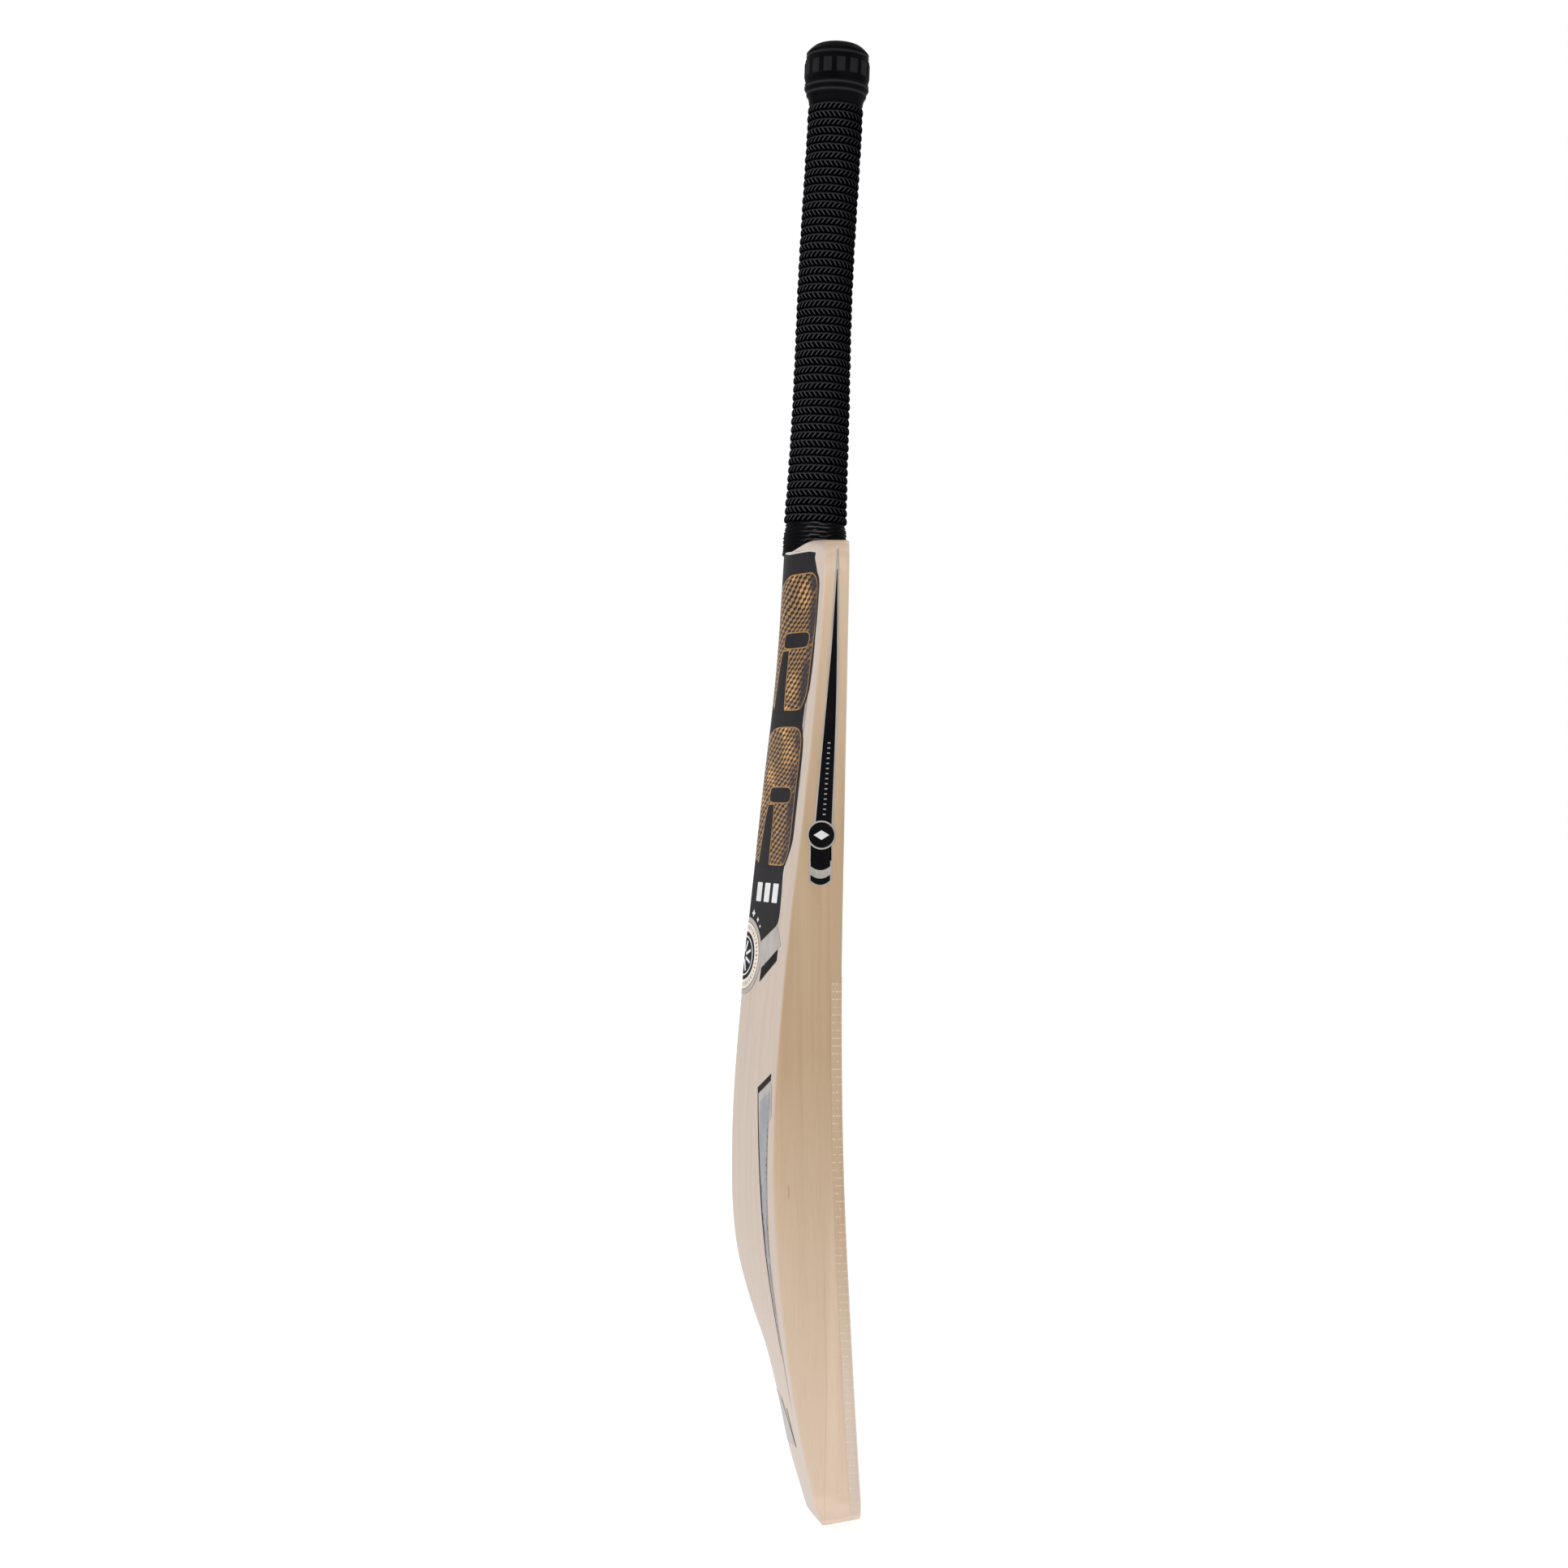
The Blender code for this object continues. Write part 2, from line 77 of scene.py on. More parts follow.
FACE_LINE = [
    (0.000, -0.0132), (0.100, -0.0075), (0.200, -0.0029), (0.290, -0.0017), (0.400, -0.0033),
    (0.563, -0.0065),
]
SPINE_LINE = [
    (0.000, 0.0165), (0.012, 0.0203), (0.035, 0.0272), (0.066, 0.0338), (0.094, 0.0407),
    (0.122, 0.0500), (0.150, 0.0573), (0.175, 0.0603), (0.208, 0.0609), (0.240, 0.0600),
    (0.300, 0.0553), (0.407, 0.0441), (0.492, 0.0346), (0.563, 0.0300),
]
EDGE_THICKNESS = [
    (0.000, 0.0212), (0.022, 0.0258), (0.075, 0.0336), (0.140, 0.0385), (0.180, 0.0396),
    (0.235, 0.0382), (0.320, 0.0318), (0.450, 0.0196), (0.550, 0.0140), (0.563, 0.0140),
]
ROUNDNESS = [(0.000, 1.20), (0.400, 1.20), (0.500, 1.70), (0.563, 2.00)]
HOLLOW = [(0.000, 1.10), (0.400, 1.15), (0.480, 1.50), (0.537, 2.10), (0.563, 0.60)]

# The handle
HANDLE_MIDDLE = [
    (0.430, 0.0170), (0.570, 0.0124), (0.634, 0.0093), (0.720, 0.0061), (0.812, 0.0006),
    (0.851, -0.0010),
]
GRIP_RADIUS = [
    (0.556, 0.0184), (0.570, 0.0182), (0.592, 0.0174), (0.634, 0.0166), (0.677, 0.0160),
    (0.812, 0.0157),
]
COLLAR_RADIUS = 0.0187
COLLAR_DOME = (0.0067, 0.0056)  # how far the rounded top reaches in and down
COLLAR_PEAK = 0.0029  # how far the middle of the dome stands over the CAD's flat top
COLLAR_SOFTNESS = 0.0007  # how far the body draws in under the dome's corner
COLLAR_FOOT = 0.8185
COLLAR_START = 0.8310
HANDLE_OVAL = 0.95
GRIP_WALL = 0.0016
GRIP_LIP = 0.0018
GRIP_MOUTH = 0.0105
BINDING_WALL = 0.0005

RING_COUNT = 51
RINGS_FOOT = 0.5745
RINGS_TOP = 0.8175
RING_RELIEF = 0.0015
RING_MEAN = 0.72  # how much of the relief lies inside the grip's plain radius

FOLDS_FOOT = (0.5580, 0.5640)  # where the folds at the grip's foot fade in, and out again
FOLDS_TOP = (0.5735, 0.5752)
FOLD_RELIEF = 0.0004
FOOT_LIP = 0.0005
FOOT_WALL = 0.0012
PAD_RELIEF = 0.00035
GROOVES = 34.0  # round each ring
GROOVE_LEAN = 2 * math.pi * 1.3

# Planes clear of the whole blade, for cutters
FRONT, BACK, SIDE = -0.040, 0.090, 0.070
NECK_FRONT, NECK_BACK = -0.030, 0.060
SPARE = 0.003  # how far the blade starts over its top before the neck is cut

# Stickers and facing
FACING_TOP = 0.312
FACING_FOOT = TOE_CORNER * (1 - math.cos(math.radians(48)))
FACING_WRAP = 0.0058
FACING_THICKNESS = 0.00022
LAYER = 0.00004  # how far each printed layer lies over the one under it
FILM = 0.00012  # how far the first film's surface stands off the wood
FILM_RIM = 0.0008  # how far the clear rim, coloured pale as a painted highlight, reaches past the dark film
EDGE_INSET = 0.0002  # keeps a slope's samples off the blade's very edge
FLANK_SHEEN_BLEND = (-0.0009, 0.0003)  # where the edge's colour turns into the back's paler one, a painted sheen on the back, from the back corner
ACROSS_STEP = 0.002  # how finely a sticker is cut so that it can bend
ALONG_STEP = 0.004
FINE_STEP = 0.001
SPINE_BAND = 0.006  # where it is cut four times as finely across

# Camera
CAMERA_PLACE = (-1.330, 0.0305, 0.423)
CAMERA_LENS = 52.29
SENSOR = 36.0


# ---------------------------------------------------------------- lines and surfaces


def through(points, height):
    """The value at a height on a smooth curve through (height, value) points."""
    height = min(max(height, points[0][0]), points[-1][0])
    slopes = [(b[1] - a[1]) / (b[0] - a[0]) for a, b in zip(points, points[1:], strict=False)]
    i = max(k for k in range(len(slopes)) if points[k][0] <= height)
    (low, start), (high, end) = points[i], points[i + 1]
    before = slopes[i] if i == 0 else (slopes[i - 1] + slopes[i]) / 2
    after = slopes[i] if i == len(slopes) - 1 else (slopes[i] + slopes[i + 1]) / 2
    span = high - low
    t = (height - low) / span
    return (
        start * (1 + 2 * t) * (1 - t) ** 2
        + before * span * t * (1 - t) ** 2
        + end * t * t * (3 - 2 * t)
        - after * span * t * t * (1 - t)
    )


def smooth_step(low, high, value):
    t = min(max((value - low) / (high - low), 0.0), 1.0)
    return t * t * (3 - 2 * t)


def rounding(radius, depth):
    reach = radius - min(max(depth, 0.0), radius)
    return radius - math.sqrt(radius * radius - reach * reach)


def half_width(height):
    width = BLADE_WIDTH / 2 - rounding(TOE_CORNER, height)
    climb = max(height - (BLADE_LENGTH - SHOULDER_DROP), 0.0) / SHOULDER_DROP
    return width - SHOULDER_RUN * (1 - math.sqrt(max(1 - climb * climb, 0.0)))


def face_y(height):
    return through(FACE_LINE, height) + rounding(TOE_ROUNDING, height)


def edge_back_y(height):
    return through(FACE_LINE, height) + through(EDGE_THICKNESS, height) - rounding(TOE_ROUNDING, height)


def spine_y(height):
    return through(SPINE_LINE, height) - rounding(TOE_ROUNDING, height)


def back_y(x, height):
    """The back's y at a distance x from the spine."""
    u = min(abs(x) / half_width(height), 1.0)
    rise = (1 - u ** through(ROUNDNESS, height)) ** through(HOLLOW, height)
    return edge_back_y(height) + (spine_y(height) - edge_back_y(height)) * rise


def blade_top(y):
    return BLADE_LENGTH - NECK_DIP * smooth_step(NECK_START, NECK_START + NECK_RUN, y)


def grip_radius(height):
    step = smooth_step(COLLAR_FOOT, COLLAR_START, height)
    return through(GRIP_RADIUS, height) * (1 - step) + COLLAR_RADIUS * step


def on_back(x, z, lift):
    """A point a little above the blade's back."""
    small = 0.0004
    inner = min(abs(x) + small, half_width(z) - EDGE_INSET)
    outer = max(abs(x) - small, 0.0)
    slope_x = 0.0
    if abs(x) >= small:
        slope_x = math.copysign(1.0, x) * (back_y(inner, z) - back_y(outer, z)) / (inner - outer)
    slope_z = (back_y(x, z + small) - back_y(x, z - small)) / (2 * small)
    normal = Vector((-slope_x, 1.0, -slope_z)).normalized()
    return Vector((x, back_y(x, z), z)) + normal * lift


def on_edge(side):
    """A function that lays (y, z) points a little outside the left (-1) or right (1) edge."""

    def place(y, z, lift):
        return Vector((side * (half_width(z) + lift), y, z))

    return place


# ---------------------------------------------------------------- meshes


def new_object(name, shape, smooth_angle=40):
    mesh = bpy.data.meshes.new(name)
    shape.to_mesh(mesh)
    shape.free()
    mesh.shade_smooth()
    mesh.set_sharp_from_angle(angle=math.radians(smooth_angle))
    made = bpy.data.objects.new(name, mesh)
    bpy.context.scene.collection.objects.link(made)
    return made


def skin(name, rings, capped=True, smooth_angle=40):
    """A surface over rows of points, each row closed round."""
    shape = bmesh.new()
    loops = [[shape.verts.new(point) for point in ring] for ring in rings]
    count = len(loops[0])
    for low, high in zip(loops, loops[1:], strict=False):
        for k in range(count):
            n = (k + 1) % count
            shape.faces.new((low[k], low[n], high[n], high[k]))
    if capped:
        for loop in (loops[0], loops[-1]):
            cap_across(shape, loop)
    bmesh.ops.recalc_face_normals(shape, faces=shape.faces)
    return new_object(name, shape, smooth_angle)


def cap_across(shape, loop):
    """Closes a loop with a ladder of faces from each vertex to its opposite number."""
    count = len(loop)
    for k in range(count // 2):
        corners = [loop[k], loop[k + 1], loop[-k - 1], loop[-k]]
        unique = [v for i, v in enumerate(corners) if v not in corners[:i]]
        if len(unique) > 2:
            shape.faces.new(unique)


def apply_modifiers(piece):
    graph = bpy.context.evaluated_depsgraph_get()
    made = bpy.data.meshes.new_from_object(piece.evaluated_get(graph))
    piece.modifiers.clear()
    piece.data = made


def cut_away(piece, cutter):
    modifier = piece.modifiers.new("Cut", "BOOLEAN")
    modifier.operation = "DIFFERENCE"
    modifier.solver = "MANIFOLD"
    modifier.object = cutter
    apply_modifiers(piece)
    bpy.data.objects.remove(cutter, do_unlink=True)


def mirrored(half):
    return half + [(-x, y) for x, y in half[-2:0:-1]]


def curve(a, control, b, steps):
    """Points of a quadratic curve from a to b, without its first point."""
    made = []
    for k in range(1, steps + 1):
        t = k / steps
        corners = zip(a, control, b, strict=True)
        made.append(tuple((1 - t) ** 2 * p + 2 * t * (1 - t) * c + t * t * q for p, c, q in corners))
    return made


def face_run(height, steps=14, corner_steps=8):
    """Half the hitting face, from its middle to the end of the rounded corner on the edge."""
    width, face, back = half_width(height), face_y(height), edge_back_y(height)
    corner = min(FACE_CORNER, (back - face) * FACE_CORNER_SHARE)
    points = []
    for k in range(steps):
        share = k / (steps - 1)
        points.append((share * (width - corner), face - FACE_CROWN * (1 - share * share)))
    for k in range(1, corner_steps + 1):
        turn = math.pi / 2 * (k / corner_steps - 1)
        points.append((width - corner + corner * math.cos(turn), face + corner + corner * math.sin(turn)))
    return points


def fine_section(height, edge_steps=10, flank_steps=44):
    """Half of the blade's outline from the middle of the face round one edge to the spine."""
    width, back = half_width(height), edge_back_y(height)
    points = face_run(height)
    (x, low), high = points[-1], back - BACK_CORNER
    for k in range(1, edge_steps + 1):
        points.append((width, low + (high - low) * k / edge_steps))
    inner = width - BACK_CORNER
    points += curve((width, high), (width, back), (inner, back_y(inner, height)), 7)
    for k in range(1, flank_steps + 1):
        x = inner * (1 - k / flank_steps)
        points.append((x, back_y(x, height)))
    return points


def blade_heights():
    turns = [math.radians(a) for a in range(0, 91, 5)]
    heights = {TOE_ROUNDING * (1 - math.cos(a)) for a in turns}
    heights |= {TOE_CORNER * (1 - math.cos(a)) for a in turns[2:]}
    heights |= {BLADE_LENGTH - SHOULDER_DROP * (1 - math.sin(a)) for a in turns[:-1]}
    steps = 170
    low, high = TOE_CORNER, BLADE_LENGTH - SHOULDER_DROP
    heights |= {low + (high - low) * k / steps for k in range(steps + 1)}
    ordered = sorted(heights)
    kept = ordered[:1]
    for height in ordered[1:]:
        if height - kept[-1] > 0.00008:
            kept.append(height)
    return kept


def splice_cutter():
    tip_z = BLADE_LENGTH - SPLICE_DEPTH - GAP
    cane = through(GRIP_RADIUS, BLADE_LENGTH) - GRIP_WALL - BINDING_WALL - 2 * GAP
    right = [
        (SPLICE_TIP + GAP, tip_z),
        (HANDLE_OVAL * cane + GAP, BLADE_LENGTH),
        (BLADE_WIDTH / 2, BLADE_LENGTH + 0.001),
        (BLADE_WIDTH / 2, BAT_LENGTH),
    ]
    outline = [(0.0, tip_z)] + right + [(0.0, BAT_LENGTH)] + [(-x, z) for x, z in reversed(right)]
    return skin("splice_cutter", [[(x, y, z) for x, z in outline] for y in (FRONT, BACK)])


def neck_cutter(spare):
    ys = [NECK_FRONT] + [NECK_START + NECK_RUN * k / 24 for k in range(25)] + [NECK_BACK]
    outline = [(y, blade_top(y)) for y in ys] + [(y, spare + 0.010) for y in reversed(ys)]
    return skin("neck_cutter", [[(x, y, z) for y, z in outline] for x in (-SIDE, SIDE)])


def slanted(point):
    """Moves a point near the toe with the toe's slanted end."""
    x, y, z = point
    share = 1 - smooth_step(0.0, TOE_REACH, z)
    return (x, y, z - TOE_SLANT * (min(y, TOE_BACK) - TOE_LEVEL) * share)


def make_blade():
    """The willow blade, cut finely, with its V splice and its dipping neck."""
    rings = [[slanted((x, y, z)) for x, y in mirrored(fine_section(z))] for z in blade_heights()]
    spare = BLADE_LENGTH + SPARE
    rings.append([(x, y, spare) for x, y in mirrored(fine_section(BLADE_LENGTH))])
    blade = skin("willow_blade", rings)
    cut_away(blade, neck_cutter(spare))
    cut_away(blade, splice_cutter())
    blade.data.set_sharp_from_angle(angle=math.radians(40))
    # Painted sheen: the share of the back's paler colour, which stands in for the light falling on the back.
    painted_highlight = blade.data.attributes.new("flank_sheen", "FLOAT", "POINT")
    for vertex, value in zip(blade.data.vertices, painted_highlight.data, strict=True):
        x, y, z = vertex.co
        value.value = smooth_step(*FLANK_SHEEN_BLEND, y - edge_back_y(z)) if z < BLADE_LENGTH else 0.0
    return blade


def make_facing():
    """The clear fibre sheet over the lower face, turned a little way round both edges."""
    steps = 130
    rows_out, rows_in = [], []
    for k in range(steps + 1):
        z = FACING_FOOT + (FACING_TOP - FACING_FOOT) * k / steps
        half = face_run(z)
        reach = min(face_y(z) + FACING_WRAP, edge_back_y(z) - BACK_CORNER)
        low = half[-1][1]
        half += [(half_width(z), low + (reach - low) * j / 4) for j in range(1, 5)]
        whole = [(-x, y) for x, y in half[:0:-1]] + half
        out = []
        for j, (x, y) in enumerate(whole):
            before, after = whole[max(j - 1, 0)], whole[min(j + 1, len(whole) - 1)]
            along = Vector((after[0] - before[0], after[1] - before[1])).normalized()
            out.append(slanted((x + along.y * FACING_THICKNESS, y - along.x * FACING_THICKNESS, z)))
        rows_out.append(out)
        rows_in.append([slanted((x, y, z)) for x, y in whole])
    rings = [inner + outer[::-1] for inner, outer in zip(rows_in, rows_out, strict=True)]
    return skin("fibre_facing", rings, smooth_angle=50)


# ---------------------------------------------------------------- the grip


def handle_lean(height):
    """How far the handle's middle line moves in y for each metre of height."""
    step = 0.001
    low, high = min(height, BAT_LENGTH - step), min(height, BAT_LENGTH - step) + step
    return (through(HANDLE_MIDDLE, high) - through(HANDLE_MIDDLE, low)) / step


def handle_point(turn, height, radius, square=1.0):
    """A point on a ring round the handle, level where square is 0 and square to the handle at 1."""
    back = -radius * math.cos(turn)
    middle = through(HANDLE_MIDDLE, height)
    lifted = height - square * handle_lean(height) * back
    return (HANDLE_OVAL * radius * math.sin(turn), middle + back, lifted)


def turned(name, profile, columns, offset, painted_highlight=None):
    """A turned surface over (height, radius) rows that offset(turn, height) moves out."""
    rings = []
    for height, radius in profile:
        ring = []
        for k in range(columns):
            turn = 2 * math.pi * k / columns
            ring.append(handle_point(turn, height, radius + offset(turn, height)))
        rings.append(ring)
    piece = skin(name, rings, capped=False, smooth_angle=60)
    # Each vertex keeps its place along and round the handle, which the pattern follows.
    keep(piece, "along", [height for height, _ in profile for _ in range(columns)])
    keep(piece, "middle", [through(HANDLE_MIDDLE, height) for height, _ in profile for _ in range(columns)])
    # The painted highlight, where given, is stored on each vertex for the material.
    if painted_highlight:
        turns = [2 * math.pi * k / columns for k in range(columns)]
        keep(piece, "painted_highlight", [painted_highlight(turn, height) for height, _ in profile for turn in turns])
    return piece


def keep(piece, name, values):
    """Stores a value on each vertex for a material to read."""
    piece.data.attributes.new(name, "FLOAT", "POINT").data.foreach_set("value", values)


def ring_bulge(share):
    """A ring's outline from one valley to the next: a round lobe, fuller towards its foot."""
    lean = share**0.85
    return math.sqrt(max(1 - (2 * lean - 1) ** 2, 0.0))


def make_grip_rings():
    pitch = (RINGS_TOP - RINGS_FOOT) / RING_COUNT
    samples = 9
    profile = []
    for ring in range(RING_COUNT):
        for k in range(samples):
            share = k / samples
            height = RINGS_FOOT + (ring + share) * pitch
            profile.append((height, grip_radius(height) + RING_RELIEF * (ring_bulge(share) - RING_MEAN)))
    profile.append((RINGS_TOP, grip_radius(RINGS_TOP) - RING_MEAN * RING_RELIEF))

    def uneven(turn, height):
        ring = math.floor((height - RINGS_FOOT) / pitch + 1e-6)
        return 0.00010 * math.sin(turn * 3 + ring * 2.4) + 0.00006 * math.sin(turn * 7 + ring * 5.1)

    return turned("grip_rings", profile, 120, uneven)


def folds(turn, height):
    """The folds of the stretched rubber under the lowest ring, from -1 to 1."""
    depth = smooth_step(*FOLDS_FOOT, height) * (1 - smooth_step(*FOLDS_TOP, height))
    swing = 1.6 * math.sin(turn * 2 + 0.7) + 1.1 * math.sin(turn * 5 + 2.0) + 0.8 * math.sin(turn * 9)
    waves = math.sin(height * 2600 + swing) + 0.7 * math.sin(height * 4300 - 1.3 * swing + 4 * turn)
    return depth * waves / 1.7


def fold_shine(turn, height):
    """Where the folds get a painted highlight: their crests, in two patches round the handle."""
    patch = max(math.cos(2 * (turn + 1.52)), 0.0) ** 4
    broken = 0.65 + 0.35 * math.sin(turn * 11 + height * 1500)
    return 2.6 * patch * broken * smooth_step(0.05, 0.60, folds(turn, height))


def make_grip_foot():
    """The smooth foot of the grip, stretched over the neck, from the blade's top to the rings."""
    columns, rows = 144, 44
    rings, shines = [], []
    for inner in (True, False):
        run = []
        shine = []
        for k in range(rows + 1):
            share = k / rows
            ring = []
            for j in range(columns):
                turn = 2 * math.pi * j / columns
                base = through(HANDLE_MIDDLE, BLADE_LENGTH) - grip_radius(BLADE_LENGTH) * math.cos(turn)
                foot = blade_top(base) + 0.0002
                height = foot + (RINGS_FOOT - foot) * share
                radius = grip_radius(height) - RING_MEAN * RING_RELIEF * smooth_step(0.5, 1.0, share)
                lip = FOOT_LIP * (1 - smooth_step(0.0, 0.12, share))
                lip -= FOOT_LIP * (1 - smooth_step(0.0, 0.05, share))
                radius += FOLD_RELIEF * folds(turn, height) + lip - (FOOT_WALL if inner else 0.0)
                ring.append(handle_point(turn, height, radius, share))
                shine.append(fold_shine(turn, height))
            run.append(ring)
        rings += run[::-1] if inner else run
        shines += [0.0] * len(shine) if inner else shine
    piece = skin("grip_foot", rings, capped=False, smooth_angle=60)
    keep(piece, "painted_highlight", shines)
    return piece


def make_grip_collar():
    """The thick collar: a taper with two ridges, a band with raised pads, a bead and the open mouth."""
    pads, columns = 15, 360
    band_low, band_high = 0.8334, 0.8432
    beads = [(0.8240, 0.00050, 0.0011), (0.8278, 0.00055, 0.0012)]
    grooves = [(0.8316, 0.0009, 0.0008), (0.8452, 0.0009, 0.0008)]
    reach, drop = COLLAR_DOME
    top = BAT_LENGTH + handle_lean(BAT_LENGTH) * (COLLAR_RADIUS - reach) + COLLAR_PEAK
    steps = 110
    profile = []
    for k in range(steps + 1):
        height = RINGS_TOP + (top - drop - RINGS_TOP) * k / steps
        radius = grip_radius(height) - RING_MEAN * RING_RELIEF * (1 - smooth_step(RINGS_TOP, 0.8190, height))
        for middle, relief, spread in beads:
            radius += relief * math.exp(-(((height - middle) / spread) ** 2))
        for middle, relief, spread in grooves:
            radius -= relief * math.exp(-(((height - middle) / spread) ** 2))
        profile.append((height, radius - COLLAR_SOFTNESS * smooth_step(0.8448, top - drop, height)))
    for k in range(1, 15):
        share = 1 - k / 14
        profile.append((top - drop * share**1.55, COLLAR_RADIUS - reach * (1 - share)))
    flat = COLLAR_RADIUS - reach
    for k in range(1, 9):
        share = k / 8
        dish = 0.0003 * math.sin(math.pi * share)
        profile.append((top - dish, flat + (GRIP_MOUTH + 0.0006 - flat) * share))
    profile += [(top - 0.0004, GRIP_MOUTH), (top - GRIP_LIP, GRIP_MOUTH)]

    def raised(turn, height):
        across = abs((turn / (2 * math.pi) * pads) % 1.0 - 0.5) * 2
        lean = abs(height - (band_low + band_high) / 2) / ((band_high - band_low) / 2)
        block = 1 - smooth_step(0.56, 0.70, across)
        return PAD_RELIEF * block * (1 - smooth_step(0.76, 0.92, lean))

    def painted_highlight(turn, height):
        # Painted highlight: lighter tops over the beads, a light line under the rim, and lighter raised pads.
        lift = sum(0.38 * math.exp(-(((height - middle - 0.0006) / 0.0006) ** 2)) for middle, _, _ in beads)
        rim_light = 0.32 * math.exp(-(((height - 0.8464) / 0.0006) ** 2))
        return lift + rim_light + 0.20 * raised(turn, height) / PAD_RELIEF

    return turned("grip_collar", profile, columns, raised, painted_highlight)


# ---------------------------------------------------------------- stickers


def mm(points):
    """(across in millimetres, height in metres) pairs as metres."""
    return [(a / 1000, z) for a, z in points]


def both_sides(half):
    """A closed outline across the spine from its half on the left, listed top to bottom."""
    return half + [(-x, z) for x, z in reversed(half) if abs(x) > 1e-9]


def softened(points, rounds=2):
    """Corners cut again and again until the closed outline is a smooth curve."""
    for _ in range(rounds):
        cut = []
        for (ax, az), (bx, bz) in zip(points, points[1:] + points[:1], strict=True):
            cut += [(0.8 * ax + 0.2 * bx, 0.8 * az + 0.2 * bz), (0.2 * ax + 0.8 * bx, 0.2 * az + 0.8 * bz)]
        points = cut
    return points


def signed_area(points):
    return sum(
        ax * bz - bx * az for (ax, az), (bx, bz) in zip(points, points[1:] + points[:1], strict=True)
    )


def grown(points, distance):
    """The outline moved out by a distance, or in where it is negative."""
    turn = 1 if signed_area(points) > 0 else -1
    made = []
    for before, here, after in zip(points[-1:] + points[:-1], points, points[1:] + points[:1], strict=True):
        first = Vector((here[0] - before[0], here[1] - before[1])).normalized()
        second = Vector((after[0] - here[0], after[1] - here[1])).normalized()
        out = Vector((first.y + second.y, -first.x - second.x)) * turn
        if out.length < 1e-6:
            out = Vector((first.y, -first.x)) * turn
        out.normalize()
        stretch = max(out.dot(Vector((first.y, -first.x)) * turn), 0.5)
        made.append((here[0] + out.x * distance / stretch, here[1] + out.y * distance / stretch))
    return made


def rounded_box(low, high, radius, steps=5):
    """A box from its low to its high corner with round corners."""
    (x0, z0), (x1, z1) = low, high
    made = []
    left, right, foot, top = x0 + radius, x1 - radius, z0 + radius, z1 - radius
    centres = [(right, top), (left, top), (left, foot), (right, foot)]
    for quarter, (cx, cz) in enumerate(centres):
        for k in range(steps + 1):
            turn = math.pi / 2 * (quarter + k / steps)
            made.append((cx + radius * math.cos(turn), cz + radius * math.sin(turn)))
    return made


def disc(centre, radius, sides=64):
    turns = [2 * math.pi * k / sides for k in range(sides)]
    return [(centre[0] + radius * math.cos(t), centre[1] + radius * math.sin(t)) for t in turns]


def bar(a, b, width):
    """A straight bar from a to b."""
    along = Vector((b[0] - a[0], b[1] - a[1])).normalized()
    side = Vector((-along.y, along.x)) * width / 2
    return [(p[0] + s * side.x, p[1] + s * side.y) for p, s in ((a, 1), (b, 1), (b, -1), (a, -1))]


def mirror(outline):
    return [(-x, z) for x, z in reversed(outline)]


def twice(outlines):
    """The outlines with their mirror images across the spine."""
    return outlines + [mirror(outline) for outline in outlines]


def grid_lines(low, high, step):
    first = math.ceil(low / step)
    return [k * step for k in range(first, math.floor(high / step) + 1)]


def flat_patch(outline, across_step, along_step):
    """A flat mesh of one outline in the plane y = 0, cut along a grid so that it can bend."""
    shape = bmesh.new()
    face = shape.faces.new([shape.verts.new((x, 0.0, z)) for x, z in outline])
    bmesh.ops.triangulate(shape, faces=[face])
    xs, zs = [p[0] for p in outline], [p[1] for p in outline]
    cuts = [((x, 0, 0), (1, 0, 0)) for x in grid_lines(min(xs), max(xs), across_step)]
    near_spine = grid_lines(-SPINE_BAND, SPINE_BAND, across_step / 4)
    cuts += [((x, 0, 0), (1, 0, 0)) for x in near_spine if min(xs) < x < max(xs)]
    cuts += [((0, 0, z), (0, 0, 1)) for z in grid_lines(min(zs), max(zs), along_step)]
    for point, direction in cuts:
        geometry = shape.verts[:] + shape.edges[:] + shape.faces[:]
        bmesh.ops.bisect_plane(shape, geom=geometry, plane_co=point, plane_no=direction, dist=1e-7)
    return shape


def sticker(name, parts, look, nodes, along_step=ALONG_STEP):
    """One piece from several (outlines, place, level) parts, all of one finish."""
    shape = bmesh.new()
    for outlines, place, level in parts:
        lift = FILM + level * LAYER
        for outline in outlines:
            patch = flat_patch(outline, ACROSS_STEP, along_step)
            for vertex in patch.verts:
                vertex.co = place(vertex.co.x, vertex.co.z, lift)
            face_outwards(patch, place)
            part = bpy.data.meshes.new("part")
            patch.to_mesh(part)
            patch.free()
            shape.from_mesh(part)
            bpy.data.meshes.remove(part)
    piece = new_object(name, shape, smooth_angle=60)
    dress(piece, look, nodes)


def face_outwards(patch, place):
    """Turns every face of a patch to look away from the blade."""
    patch.normal_update()
    total = Vector((0.0, 0.0, 0.0))
    for face in patch.faces:
        total += face.normal * face.calc_area()
    middle = sum((v.co for v in patch.verts), Vector()) / len(patch.verts)
    outward = Vector((middle.x, 0.0, 0.0)) if place is not on_back else Vector((0.0, 1.0, 0.0))
    if total.dot(outward) < 0:
        bmesh.ops.reverse_faces(patch, faces=patch.faces[:])


def dress(piece, look, nodes=()):
    piece.data.materials.clear()
    piece.data.materials.append(look)
    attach(piece, "root")
    if nodes:
        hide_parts(*nodes)


# ---------------------------------------------------------------- materials


